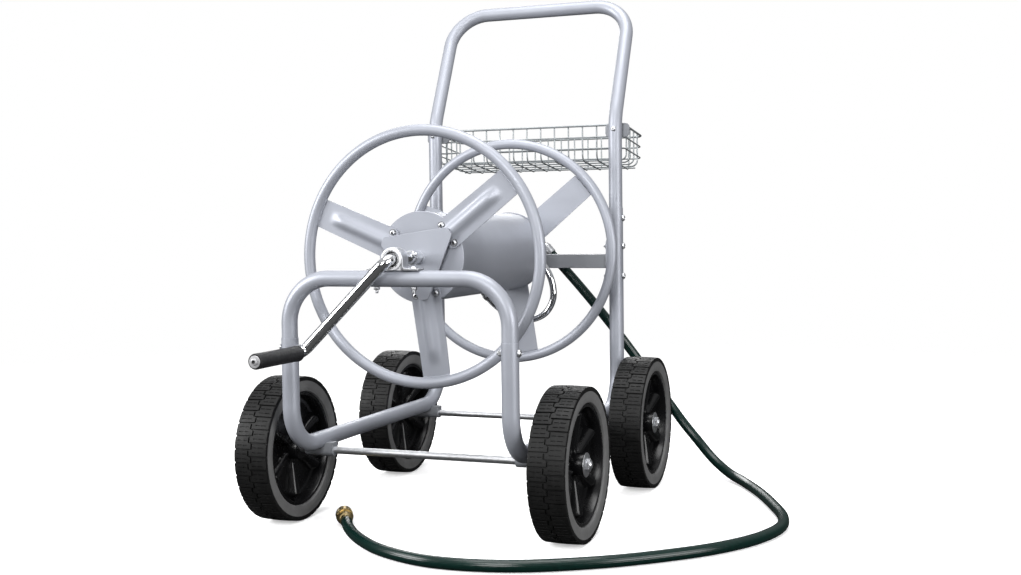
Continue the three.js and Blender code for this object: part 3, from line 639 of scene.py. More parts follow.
class CART_OT_hose(bpy.types.Operator):
    """Lays the leader hose from the swivel round the cart, with its brass coupling and zinc ferrule"""

    bl_idname = "cart.hose"
    bl_label = "Leader hose"

    def execute(self, context):
        sizes = context.scene.cart_sizes
        looks = finishes()
        path, way = elbow_path()
        route = smooth_route([path[-1] + way * GAP, *HOSE_POINTS], 12)
        radius = sizes.hose_diameter / MM / 2
        ridges = sizes.hose_ridges
        vinyl = Shape().add(skin(path_rings(route, radius, ridges * 4, waves=ridges, wave=0.12)))
        hose = make("hose", vinyl, looks["hose"], replaces=("leader_hose",), sharp=60)

        out = (route[-1] - route[-2]).normalized()
        place = aim(route[-1] + out * GAP, out)
        fitting = Shape().add(turned([
            (0, -9), (10.4, -9), (10.9, -8), (10.9, -6), (10.3, -5), (10.3, 0), (11.5, 1), (11.5, 5),
            (10.9, 6), (11.5, 7), (11.5, 11), (10.6, 13), (10.6, 15), (0, 15),
        ], 40), place)
        mouth = [ring_at(radius, along, KNURL_TEETH * 4) for radius, along in (
            (12.6, 33.8), (12.2, 33), (12.2, 24), (8.5, 23.6), (8.5, 17),
        )]
        fitting.add(skin(knurled(15, 15.5, 33.5) + mouth), place)
        coupling = make("coupling", fitting, looks["brass"], replaces=("hose_coupling",))
        sleeve = Shape().add(turned([
            (0, -1), (9.2, -1), (9.6, 0), (9.6, 3), (10.8, 3.6), (11.2, 6), (10.6, 9), (11.2, 12),
            (10.6, 15), (11.2, 18), (10.9, 22), (9.7, 22.6), (0, 22.6),
        ], 40), aim(path[-1], way))
        ferrule = make("hose_ferrule", sleeve, looks["zinc"])
        return {"FINISHED"}


# ---- frame -----------------------------------------------------------------------------------------


RAIL_HEIGHT = 145
RAIL_BEND = 70
RAIL_RADIUS = 14.3
FRONT_HEIGHT = 430
FRONT_SEAM = 331
FRONT_TUBE = 13.3
REAR_SEAM = 546
HANDLE_KNEE = 721
HANDLE_HEIGHT = 967
HANDLE_LEAN = 0.49
HANDLE_TUBE = 13.5
HOOP_CORNER = 75
KNEE_BEND = 120
SPIGOT_LENGTH = 45
SPIGOT_RADIUS = 12.2


class CART_OT_frame(bpy.types.Operator):
    """Bends the two side rails, the front hoop and the handle hoop"""

    bl_idname = "cart.frame"
    bl_label = "Frame tubes"

    def execute(self, context):
        paint = finishes()["paint"]
        for side, sign in SIDES:
            corners = ((FRONT_LEG_Y, FRONT_SEAM), (FRONT_LEG_Y, RAIL_HEIGHT), (REAR_LEG_Y, RAIL_HEIGHT),
                       (REAR_LEG_Y, REAR_SEAM))
            path = bent([(sign * RAIL_X, y, z) for y, z in corners], RAIL_BEND)
            rail = Shape().add(pipe(path, RAIL_RADIUS, RAIL_RADIUS - 1.5))
            make(f"rail_{side}", rail, paint, replaces=(f"side_rail_{side}",), edge=0.5)
        grip_y = REAR_LEG_Y + HANDLE_LEAN * (HANDLE_HEIGHT - HANDLE_KNEE)
        front = ((FRONT_LEG_Y, FRONT_SEAM - 1), (FRONT_LEG_Y, FRONT_HEIGHT))
        rear = ((REAR_LEG_Y, REAR_SEAM - 1), (REAR_LEG_Y, HANDLE_KNEE), (grip_y, HANDLE_HEIGHT))
        for name, half, bends, steps, radius, seam in (
            ("front_hoop", front, [HOOP_CORNER], 18, FRONT_TUBE, FRONT_SEAM),
            ("handle_hoop", rear, [KNEE_BEND, HOOP_CORNER], 16, HANDLE_TUBE, REAR_SEAM),
        ):
            left = [(-RAIL_X, y, z) for y, z in half]
            right = [(RAIL_X, y, z) for y, z in reversed(half)]
            hoop = Shape().add(rod(bent(left + right, bends + bends[::-1], steps), radius, 36))
            leg_y = half[0][0]
            for _, sign in SIDES:
                for low, high, thick, sides in ((-SPIGOT_LENGTH, 0, SPIGOT_RADIUS, 32),
                                                (1.2, 2.4, radius + 0.25, 36)):
                    ends = [(sign * RAIL_X, leg_y, seam + low), (sign * RAIL_X, leg_y, seam + high)]
                    hoop.add(rod(ends, thick, sides))
            make(f"{name}_tube", hoop, paint, replaces=(name,), sharp=40)
        return {"FINISHED"}


BRACE_LOW = 425.5
BRACE_HIGH = 453.5
BRACE_NOTCH = 443
BRACE_HALF_DEPTH = 12.5
PLATE = 3


class CART_OT_brace(bpy.types.Operator):
    """Makes the cross brace with its end plates and welds"""

    bl_idname = "cart.brace"
    bl_label = "Cross brace"

    def execute(self, context):
        looks = finishes()
        plate_x = RAIL_X - RAIL_RADIUS - GAP - PLATE / 2
        notch = 15.8
        outline = [(-plate_x, BRACE_LOW), (plate_x, BRACE_LOW), (plate_x, BRACE_HIGH), (notch, BRACE_HIGH),
                   (notch, BRACE_NOTCH), (-notch, BRACE_NOTCH), (-notch, BRACE_HIGH), (-plate_x, BRACE_HIGH)]
        bar = Shape().add(prism(outline, REAR_LEG_Y - BRACE_HALF_DEPTH, REAR_LEG_Y + BRACE_HALF_DEPTH))
        make("brace_bar", bar, looks["brace"], replaces=("cross_brace",), edge=1.6)
        plates = Shape()
        welds = Shape()
        for _, sign in SIDES:
            outline = soft_outline([(-14, 397), (14, 397), (14, 482), (-14, 482)], 6)
            place = shift(sign * plate_x, REAR_LEG_Y, 0) @ QUARTER_TURN
            plates.add(prism(outline, -PLATE / 2, PLATE / 2), place)
            x = sign * (plate_x - 2)
            for y in (REAR_LEG_Y - 12.6, REAR_LEG_Y + 12.6):
                welds.add(bead([(x, y, BRACE_LOW + 2 + step * 2.4) for step in range(11)], 1.5, y))
            top = [(x, REAR_LEG_Y - 11 + step * 2.2, BRACE_HIGH) for step in range(11)]
            welds.add(bead(top, 1.5, sign))
        make("brace_plates", plates, looks["paint"], edge=0.7)
        make("brace_welds", welds, looks["brace"], sharp=60)
        return {"FINISHED"}


# ---- axles and wheels ------------------------------------------------------------------------------


BRACKET_RADIUS = 10.2
BRACKET_TOP = 141
BRACKET_HALF = 27
AXLE_END = 297.5
NUT_FLANGE_HEIGHT = 2.3


class CART_OT_axles(bpy.types.Operator):
    """Makes the axle rods, their brackets under the rails and the axle nuts"""

    bl_idname = "cart.axles"
    bl_label = "Axles"

    def execute(self, context):
        looks = finishes()
        nut_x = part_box("axle_nut_front_right")[0].x / MM
        outline = [(y, AXLE_Z + z) for y, z in arc(BRACKET_RADIUS, 16, math.pi)]
        outline += [(BRACKET_RADIUS, BRACKET_TOP), (-BRACKET_RADIUS, BRACKET_TOP)]
        for end, y in (("front", 0), ("rear", WHEELBASE)):
            profile = [(0, AXLE_END), (5.2, AXLE_END), (6.35, AXLE_END - 1.2)]
            profile = [(radius, -along) for radius, along in profile] + profile[::-1]
            axle = Shape().add(turned(profile, 32), aim((0, y, AXLE_Z), (1, 0, 0)))
            make(f"{end}_axle_rod", axle, looks["zinc"], replaces=(f"{end}_axle",))
            for side, sign in SIDES:
                place = shift(sign * RAIL_X, y, 0) @ QUARTER_TURN
                bracket = Shape().add(prism(outline, -BRACKET_HALF, BRACKET_HALF), place)
                for step in (-1, 1):
                    x = sign * RAIL_X + step * 9
                    rail_edge = [(x + 4 * out, y + step * 10, 139 + 1.5 * up) for out, up in arc(1, 8)]
                    bracket.add(bead(rail_edge, 1.3, x))
                # The brackets take the darker brace paint as painted shade, for the shade under the rails.
                make(f"bracket_{end}_{side}", bracket, looks["brace"],
                     replaces=(f"axle_bracket_{end}_{side}",), edge=0.9)
                place = aim((sign * nut_x, y, AXLE_Z), (sign, 0, 0))
                nut = Shape().add(turned([
                    (6.5, 0), (19.4, 0), (20, 0.5), (20, 1.1), (18.5, 1.9), (12, NUT_FLANGE_HEIGHT),
                    (6.5, NUT_FLANGE_HEIGHT),
                ], 48, closed=True), place)
                nut.add(hex_nut(19, 5.5), place @ shift(0, NUT_FLANGE_HEIGHT, 0))
                nut.add(turned([(0, 7.8), (6.4, 7.8), (6.2, 8.8), (5.4, 9.4), (0, 9.6)], 32), place)
                make(f"nut_{end}_{side}", nut, looks["zinc"], replaces=(f"axle_nut_{end}_{side}",), edge=0.35)
        return {"FINISHED"}


TYRE_RADIUS = 127
TREAD_HALF = 30.5
TREAD_CROWN = 0.0011
GROOVE = 0.055
SIPE = 0.022
GROOVE_EDGE = 0.014
SIPES = (0.32, 0.68)
SIPE_SPANS = ((5.5, 13), (16, 24.5))
PAINTED_LIGHT_WALL_EDGE = 118.8  # the radius where the tread's rubber gives way to the smooth wall, whose rubber is painted far lighter as painted light


def tread_across():
    """Places across one half of the tread, from its middle, with a pair at each side of a groove's edge."""
    places = [1.1, 1.5, 3]
    for low, high in SIPE_SPANS:
        places += [low - 0.4, low, high, high + 0.4]
    return [*places, 28, TREAD_HALF - 0.7, TREAD_HALF - 0.1]


def tread_around():
    """Places round one block, as parts of its length, with a pair at each side of a groove's edge."""
    places = []
    for row in (0, 0.5):
        for line, half in ((0, GROOVE), (SIPES[0], SIPE), (SIPES[1], SIPE)):
            middle = (line + row) % 1
            places += [middle - half - GROOVE_EDGE, middle - half, middle + half,
                       middle + half + GROOVE_EDGE]
    return sorted(place % 1 for place in places)


def in_groove(around, far_row):
    """Whether a place round the tyre is in the groove between two blocks of its row."""
    place = (around + (0.5 if far_row else 0)) % 1
    return min(place, 1 - place) <= GROOVE + 0.001


def tread_drop(across, around, depth):
    """How far the rubber lies below the tread's face."""
    if abs(across) < 1.2 or in_groove(around, across > 0):
        return depth
    place = (around + (0.5 if across > 0 else 0)) % 1
    in_sipe = any(abs(place - line) <= SIPE + 0.001 for line in SIPES)
    in_span = any(low - 0.1 <= abs(across) <= high + 0.1 for low, high in SIPE_SPANS)
    return depth * 0.5 if in_sipe and in_span else 0.0


def tyre_shape(blocks, depth):
    """Two rows of blocks meeting in a stepped groove, each block with short slots, on flat sidewalls."""
    half = tread_across()
    across = [-place for place in reversed(half)] + half
    side = [(radius, TREAD_HALF - inset) for radius, inset in (
        (119.5, 0), (118.6, 0.5), (110, 0.5), (103, 0.6), (100.6, 1.6), (99.4, 4),
    )]
    rings = []
    for count in range(blocks):
        for around in tread_around():
            angle = TAU * (count + around) / blocks
            step = 3.0 if 0.02 < around < 0.52 else -3.0
            section = []
            for place in across:
                radius = TYRE_RADIUS - TREAD_CROWN * place * place - tread_drop(place, around, depth)
                if abs(place) > TREAD_HALF - 0.3:
                    radius -= 0.8
                section.append((radius, place + step * (1 - smooth_step(3, 5, abs(place)))))
            for sign in (1, -1):
                notch = 1.3 if in_groove(around, sign > 0) else 0
                wall = [(radius - notch, sign * (out - notch * 0.5)) if radius > 119 else (radius, sign * out)
                        for radius, out in side]
                section += wall[::sign]
            rings.append([(x, r * math.sin(angle), r * math.cos(angle)) for r, x in section])
    return skin(rings, loop=True)


def smooth_step(low, high, value):
    share = min(1.0, max(0.0, (value - low) / (high - low)))
    return share * share * (3 - 2 * share)


HUB_RADIUS = 19
BORE_RADIUS = 6.7
DISH_RADIUS = 91.2
RIB_START = math.radians(30)
RIM_STEPS = 216


def rim_shape(ribs):
    """A dished wheel with ribs that widen outwards on both faces."""
    shape = Shape()
    radii = [HUB_RADIUS, 19.6, 21, 24, 28, 33, 38, 44, 50, 56, 62, 68, 73, 77, 80, 82, 83.5, 85, 86.5, 88,
             89.5, DISH_RADIUS]
    for face in (-1, 1):
        rings = []
        for radius in radii:
            ring = []
            share = (radius - HUB_RADIUS) / 68
            width = (4.2 + 9.4 * share) * (1 - 0.5 * smooth_step(80, 90.5, radius))
            lift = (5 + 12.5 * share) * (1 - smooth_step(82, 91, radius))
            dish = 3.2 + 2.5 * smooth_step(84, 92, radius) + 2 * (1 - smooth_step(HUB_RADIUS, 25, radius))
            for step in range(RIM_STEPS):
                angle = TAU * step / RIM_STEPS
                nearest = (angle - RIB_START + math.pi / ribs) % (TAU / ribs) - math.pi / ribs
                away = abs(nearest) * radius / width
                bump = math.sqrt(max(0.0, 1 - away * away))
                ring.append((face * (dish + lift * bump), radius * math.cos(angle), radius * math.sin(angle)))
            rings.append(ring)
        shape.add(skin(rings, capped=False))
    axis = aim((0, 0, 0), (1, 0, 0))
    for face in (-1, 1):
        band = [(DISH_RADIUS, 5.7), (92, 9), (92.6, 24.5), (93.4, 25.8), (95, 26), (98, 26), (98.8, 25.4),
                (98.8, 0)]
        hub = [(HUB_RADIUS, 5.2), (HUB_RADIUS, 24.8), (18.2, 25.8), (17, 26), (BORE_RADIUS, 26),
               (BORE_RADIUS, 0)]
        for profile, steps in ((band, 96), (hub, 48)):
            shape.add(turned([(radius, face * along) for radius, along in profile], steps), axis)
    return shape


class CART_OT_wheels(bpy.types.Operator):
    """Makes the four wheels: block tread tyres on ribbed rims"""

    bl_idname = "cart.wheels"
    bl_label = "Wheels"

    def execute(self, context):
        sizes = context.scene.cart_sizes
        looks = finishes()
        tyre = mesh_of("tyre", Shape().add(tyre_shape(sizes.tread_blocks, sizes.tread_depth / MM)), 28)
        tyre.materials.append(looks["rubber"][0])
        tyre.materials.append(looks["wall"][0])
        # Faces inside the wall edge take the lighter wall rubber, which is painted light on the sidewalls.
        for face in tyre.polygons:
            face.material_index = int(math.hypot(face.center.y, face.center.z) < PAINTED_LIGHT_WALL_EDGE * MM)
        rim = mesh_of("rim", rim_shape(sizes.wheel_ribs), 40)
        for end, y in (("front", 0), ("rear", WHEELBASE)):
            for side, sign in SIDES:
                for part, mesh, look in (("tyre", tyre, "rubber"), ("rim", rim, "rim")):
                    place_piece(f"{part}_fine_{end}_{side}", mesh, looks[look], f"wheel_{end}_{side}",
                                (f"{part}_{end}_{side}",), where=(sign * WHEEL_X, y, AXLE_Z))
        return {"FINISHED"}


# ---- reel ------------------------------------------------------------------------------------------


SPOKE_ANGLES = {"front": 37.5, "rear": 39.5}
SPOKE_ROOT = 51
SPOKE_END = 201.5
RING_RADIUS = 212.5
RING_TUBE = 9.6
HUB_STANDOFF = 8.4
HUB_PLATE = 2.8
WELD_RADIUS = 202.6
WELD_HALF = 0.1225  # half the angle of the weld between a spoke and its ring


def spoke_shape(height, outward, hollow):
    """A strip of sheet with a rib along +X towards outward, open behind when hollow."""
    rows = [SPOKE_ROOT, 51.6, 52.6, 54, 56, 58.5, 61, 63, 66, 70, 76, 90, 110, 130, 150, 156, 160, 164, 168,
            172, 176, 180, 184, 188, 193, 198, SPOKE_END]
    right = [0.12, 0.25, 0.34, 0.42, 0.5, 0.6, 0.75, 0.92, 1]
    spans = [-span for span in reversed(right)] + [0] + right
    corner = 12
    sheets = []
    for face in (1, -1):
        lift = height if hollow or face == outward else 0
        rings = []
        for along in rows:
            half = 27.2 - 2.4 * (along - SPOKE_ROOT) / 150
            if along < SPOKE_ROOT + corner:
                half += math.sqrt(max(0, corner ** 2 - (SPOKE_ROOT + corner - along) ** 2)) - corner
            fade = 1 - smooth_step(156, 184, along)
            ring = []
            for span in spans:
                across = span * half
                rib = lift * fade * (1 - smooth_step(1.5, 15, abs(across)))
                end = min(along, math.sqrt(SPOKE_END ** 2 - across ** 2))
                ring.append((end, outward * rib + face, across))
            rings.append(ring)
        sheets.append(rings)
    return skin([up + down[::-1] for up, down in zip(*sheets)])


def hub_outline(angle):
    """A triangle with cut corners and soft points."""
    inner, reach = 42.5, 72
    half = (2 * inner - reach) * math.tan(math.pi / 6)
    corners = []
    for index in range(3):
        turn = angle + index * TAU / 3
        cosine, sine = math.cos(turn), math.sin(turn)
        corners += [(reach * cosine - across * sine, reach * sine + across * cosine)
                    for across in (-half, half)]
    return soft_outline(corners, 5.5)


class CART_OT_flanges(bpy.types.Operator):
    """Makes the reel's rings, pressed spokes, hub plates, welds and screws"""

    bl_idname = "cart.flanges"
    bl_label = "Reel flanges"

    def execute(self, context):
        looks = finishes()
        height = context.scene.cart_sizes.spoke_rib / MM
        middle = shift(0, 0, REEL_Z)
        for end, outward in (("front", -1), ("rear", 1)):
            y = RING_Y[end]
            circle = [(x, y, REEL_Z + z) for x, z in arc(RING_RADIUS, 144, sweep=TAU)[:-1]]
            ring = Shape().add(rod(circle, RING_TUBE, 28, loop=True))
            make(f"ring_{end}", ring, looks["paint"], "reel", (f"reel_ring_{end}",))
            welds = Shape()
            screws = Shape()
            socket_shade = Shape()
            first = math.radians(SPOKE_ANGLES[end])
            for count in (1, 2, 3):
                turn = first + (count - 1) * TAU / 3
                place = shift(0, y, REEL_Z) @ Matrix.Rotation(-turn, 4, "Y")
                spoke = Shape().add(spoke_shape(height, outward, end == "front"), place)
                make(f"spoke_{end}_{count}_sheet", spoke, looks["paint"], "reel",
                     (f"spoke_{end}_{count}",), sharp=50)
                seam = [(x, outward * 1.6, z) for x, z in arc(WELD_RADIUS, 16, -WELD_HALF, 2 * WELD_HALF)]
                welds.add(bead(seam, 1.5, count + y), place)
                for across in (-18.5, 18.5):
                    spot = place @ shift(63, outward, across) @ aim((0, 0, 0), (0, outward, 0))
                    screws.add(dome_head(4.4, 3), spot)
                    screws.add(turned([(0, 0), (5.6, 0), (5.6, 0.7), (0, 0.7)], 24), spot)
                    # Black cones in the screws' sockets and thin black discs just wider than the washers:
                    # painted shade in each socket and round each washer's edge.
                    socket_shade.add(turned([(0, 0.8), (2.1, 0.8), (2.1, 3.1), (0, 1.4)], 20), spot)
                    socket_shade.add(turned([(0, 0.1), (6.3, 0.1), (6.3, 0.35), (0, 0.35)], 28), spot)
            make(f"ring_welds_{end}", welds, looks["paint"], "reel", sharp=60)
            make(f"spoke_screws_{end}", screws, looks["zinc"], "reel")
            make(f"spoke_screw_painted_shade_{end}", socket_shade, looks["painted_shade"], "reel")
            near = y + outward * HUB_STANDOFF
            face = near + outward * HUB_PLATE
            plate = Shape().add(prism(hub_outline(first), near, face), middle)
            weld = [(9.9, face), (12.4, face), (11.2, face + outward * 1.8), (9.9, face + outward * 2.2)]
            plate.add(turned(weld, 40, closed=True), middle)
            make(f"hub_{end}", plate, looks["paint"], "reel", (f"hub_plate_{end}",), edge=0.7)
        return {"FINISHED"}


class CART_OT_drum(bpy.types.Operator):
    """Makes the drum's shell and end discs, and the shaft through them"""

    bl_idname = "cart.drum"
    bl_label = "Drum and shaft"

    def execute(self, context):
        looks = finishes()
        front = RING_Y["front"] + 1.3
        rear = RING_Y["rear"] - 1.3
        place = shift(0, 0, REEL_Z)
        shell = Shape().add(turned([
            (74, front + 3), (74, rear - 3), (75.4, rear - 3), (75.4, front + 3),
        ], 96, closed=True), place)
        make("drum_tube", shell, looks["paint"], "reel", ("drum_shell",))
        for name, y, way in (("front", front, 1), ("rear", rear, -1)):
            disc = Shape().add(turned([
                (10, y), (70, y), (76.6, y), (77.4, y + way * 0.8), (77.4, y + way * 3.2),
                (76.8, y + way * 3.9), (76, y + way * 3.9), (76, y + way * 2.4), (10, y + way * 2.4),
            ], 96, closed=True), place)
            make(f"disc_{name}", disc, looks["paint"], "reel", (f"drum_disc_{name}",))
        shaft = Shape().add(turned([
            (7.2, -101), (9.3, -101), (9.8, -100.2), (9.8, 531), (9.3, 532), (7.2, 532),
        ], 40, closed=True), place)
        make("shaft", shaft, looks["chrome"], "reel", ("reel_shaft",))
        bolt = Shape()
        across = Vector((math.cos(math.radians(24)), 0, math.sin(math.radians(24))))
        spot = Vector((0, -47, REEL_Z))
        bolt.add(hex_nut(10, 4), aim(spot + across * 9.9, across))
        bolt.add(thread(2.9, 4.5, 1), aim(spot + across * 13.5, across))
        bolt.add(dome_head(5.4, 3.4), aim(spot - across * 9.9, -across))
        bolt.add(turned([(9.9, -39), (12.4, -39), (12.6, -38), (12.6, -33), (12.4, -32), (9.9, -32)], 36,
                        closed=True), place)
        make("crank_bolt", bolt, looks["zinc"], "reel", edge=0.3)
        return {"FINISHED"}


# ---- bearings --------------------------------------------------------------------------------------


def strap_outline(drop):
    """An arch of strip with two feet, drop below the shaft."""
    inner, thick, foot = 15.8, 3.0, 46
    outer = inner + thick
    lift = thick - drop
    outline = [(foot, -drop), (foot, lift), (outer + 4, lift), (outer + 1.2, lift + 1), (outer, lift + 4)]
    outline += arc(outer, 24)
    outline += [(-outer, lift + 4), (-outer - 1.2, lift + 1), (-outer - 4, lift), (-foot, lift),
                (-foot, -drop), (-inner - 2.4, -drop), (-inner, -drop + 2.4)]
    return [*outline, *arc(inner, 24)[::-1], (inner, -drop + 2.4), (inner + 2.4, -drop)]


HOOP_TOP = 443.6
BRACE_SEAT = 453.8
STRAP_BOLT = 33
BUSH_HALF = 15.4


class CART_OT_bearings(bpy.types.Operator):
    """Makes the two shaft bushes, their straps and the strap bolts"""

    bl_idname = "cart.bearings"
    bl_label = "Bearings"

    def execute(self, context):
        looks = finishes()
        bolts = Shape()
        for end, y, seat, foot in (("front", FRONT_LEG_Y, HOOP_TOP, REEL_Z - HOOP_TOP),
                                   ("rear", REAR_LEG_Y, BRACE_SEAT, 18.5)):
            place = shift(0, y, REEL_Z)
            strap = Shape().add(prism(strap_outline(REEL_Z - seat), -11, 11), place)
            make(f"{end}_strap", strap, looks["zinc"], replaces=(f"{end}_bearing_strap",), edge=0.6)
            outline = [(BUSH_HALF, -foot), *arc(BUSH_HALF, 24), (-BUSH_HALF, -foot)]
            bush = Shape().add(prism(outline, -9.5, 14.5), place)
            bush.add(turned([
                (13.2, -15), (17.2, -15), (18, -14.2), (18, -12.6), (17.2, -12), (BUSH_HALF, -12),
                (BUSH_HALF, -8), (10.2, -8), (10.2, -9.4), (12.6, -9.6), (12.8, -13),
            ], 56, closed=True), place)
            make(f"{end}_bush_block", bush, looks["bush"], replaces=(f"{end}_bush",), edge=0.4)
            # A thin black shell lining the bush's mouth: painted shade for the dark hollow inside the bush.
            mouth_shade_shell = Shape().add(turned([
                (9.9, -9.5), (12.9, -9.9), (13.1, -14.6), (14.4, -15.2), (14.6, -15), (13.4, -14.2),
                (13.2, -9.2), (9.9, -8.9),
            ], 48, closed=True), place)
            make(f"{end}_bush_mouth_painted_shade", mouth_shade_shell, looks["painted_shade"])
        for y, top, under, tip in ((FRONT_LEG_Y, HOOP_TOP + 3, 416.6, 413),
                                   (REAR_LEG_Y, BRACE_SEAT + 3, 425.4, 421.5)):
            for x in (-STRAP_BOLT, STRAP_BOLT):
                bolts.add(dome_head(5.2, 3.4), aim((x, y, top), (0, 0, 1)))
                bolts.add(hex_nut(9, 4.5), aim((x, y, under), (0, 0, -1)))
                bolts.add(thread(2.9, 6.5, 1), aim((x, y, tip), (0, 0, -1)))
        make("strap_bolts", bolts, looks["zinc"], edge=0.3)
        return {"FINISHED"}


# ---- crank -----------------------------------------------------------------------------------------


CRANK_Y = -124
CRANK_RADIUS = 9.5
GRIP_SPAN = (-268, -140)


class CART_OT_crank(bpy.types.Operator):
    """Bends the crank arm and makes its turning grip"""

    bl_idname = "cart.crank"
    bl_label = "Crank"

    def execute(self, context):
        looks = finishes()
        spot = centre("crank_grip")
        grip_x, grip_z = spot.x / MM, spot.z / MM
        front, back = GRIP_SPAN
        arm = Shape().add(rod(bent([
            (0, -101.4, REEL_Z), (0, CRANK_Y, REEL_Z), (grip_x, CRANK_Y, grip_z),
            (grip_x, back - 0.4, grip_z),
        ], [18, 14], 16), CRANK_RADIUS, 36))
        arm.add(rod([(0, -102, REEL_Z), (0, -32, REEL_Z)], 7, 24))
        arm.add(rod([(grip_x, back + 2, grip_z), (grip_x, front - 1, grip_z)], 5.5, 24))
        make("crank_tube", arm, looks["chrome"], "reel", ("crank_arm",), sharp=40)
        sleeve = [(5.9, front + 1)]
        for share, radius in ((0, 11.4), (0.004, 12.1), (0.015, 12.5), (0.3, 12.3), (0.6, 12.4),
                              (0.94, 12.6), (0.955, 13.2), (0.985, 13.2), (1, 12.2)):
            sleeve.append((radius, front + (back - front) * share))
        sleeve.append((5.9, back))
        grip = Shape().add(turned(sleeve, 56, closed=True), shift(grip_x, 0, grip_z))
        make("grip_sleeve", grip, looks["grip"], "grip", ("crank_grip",))
        end = aim((grip_x, front, grip_z), (0, -1, 0))
        cap = Shape().add(turned([
            (0, 0.2), (9.4, 0.2), (9.8, 0.8), (9.4, 1.6), (5.6, 1.9), (5.0, 3.9), (3.6, 4.4),
            (2.4, 4.4), (2.2, 2.4), (0, 2.2),
        ], 40), end)
        make("grip_cap", cap, looks["steel"], "reel", ("grip_screw",))
        # A black fill with a thin black rim in the cap's screw hole: painted shade in the hole.
        profile = [(0, 2.3), (2.3, 2.3), (2.3, 4.42), (3.1, 4.42), (3.1, 4.44), (0, 2.5)]
        make("grip_hole_painted_shade", Shape().add(turned(profile, 28), end), looks["painted_shade"], "reel")
        return {"FINISHED"}


# ---- water way -------------------------------------------------------------------------------------


class CART_OT_water(bpy.types.Operator):
    """Makes the gooseneck outlet and the inlet swivel"""

    bl_idname = "cart.water"
    bl_label = "Water way"

    def execute(self, context):
        looks = finishes()
        plane = RING_Y["rear"] + 26
        z = REEL_Z
        route = smooth_route([
            (10.1, plane, z), (34, plane, z - 6), (64, plane, z - 30), (80, plane, z - 62),
            (82, plane, z - 96), (66, plane, z - 124), (38, plane - 2, z - 137), (8, plane - 8, z - 136),
            (-14, plane - 20, z - 122), (-32, plane - 38, z - 102), (-44, plane - 56, z - 80),
        ], 8)
        neck = Shape().add(rod(route, 6.5, 28))
        out = (route[-1] - route[-2]).normalized()
        neck.add(turned([(0, -16), (9, -16), (9.6, -15), (9.6, -9), (9, -8), (0, -8)], 6), aim(route[-1], out))
        neck.add(thread(7.4, 10, 1.6), aim(route[-1] - out * 8.5, out))
        neck.add(turned([(0, -1), (9, -1), (9, 2), (8, 5), (0, 5)], 28), aim(route[0], (1, 0, 0)))
        make("gooseneck", neck, looks["chrome"], "reel", ("gooseneck_tube",), sharp=40)
        path, way = elbow_path()
        swivel = Shape().add(turned([
            (0, -14), (11, -14), (12.6, -13), (13, -12), (13, -8), (12.2, -7), (12.2, 6), (13, 7), (13, 10),
            (8, 14), (0, 14),
        ], 40), shift(0, SWIVEL_Y, REEL_Z))
        swivel.add(turned([(0, 10), (9, 10), (9, 16), (8, 17), (0, 17)], 6), shift(0, SWIVEL_Y - 4, REEL_Z))
        swivel.add(rod(path, 6.5, 28))
        make("swivel", swivel, looks["brass"], replaces=("inlet_swivel",), edge=0.4)
        return {"FINISHED"}


# ---- basket ----------------------------------------------------------------------------------------


BASKET_FALL = math.tan(math.radians(6.5))
BASKET_HEIGHT = 73
RIM_WIRE = 1.45  # the rim's wire, in thicknesses of the others
PLATE_SCREW_Z = 702


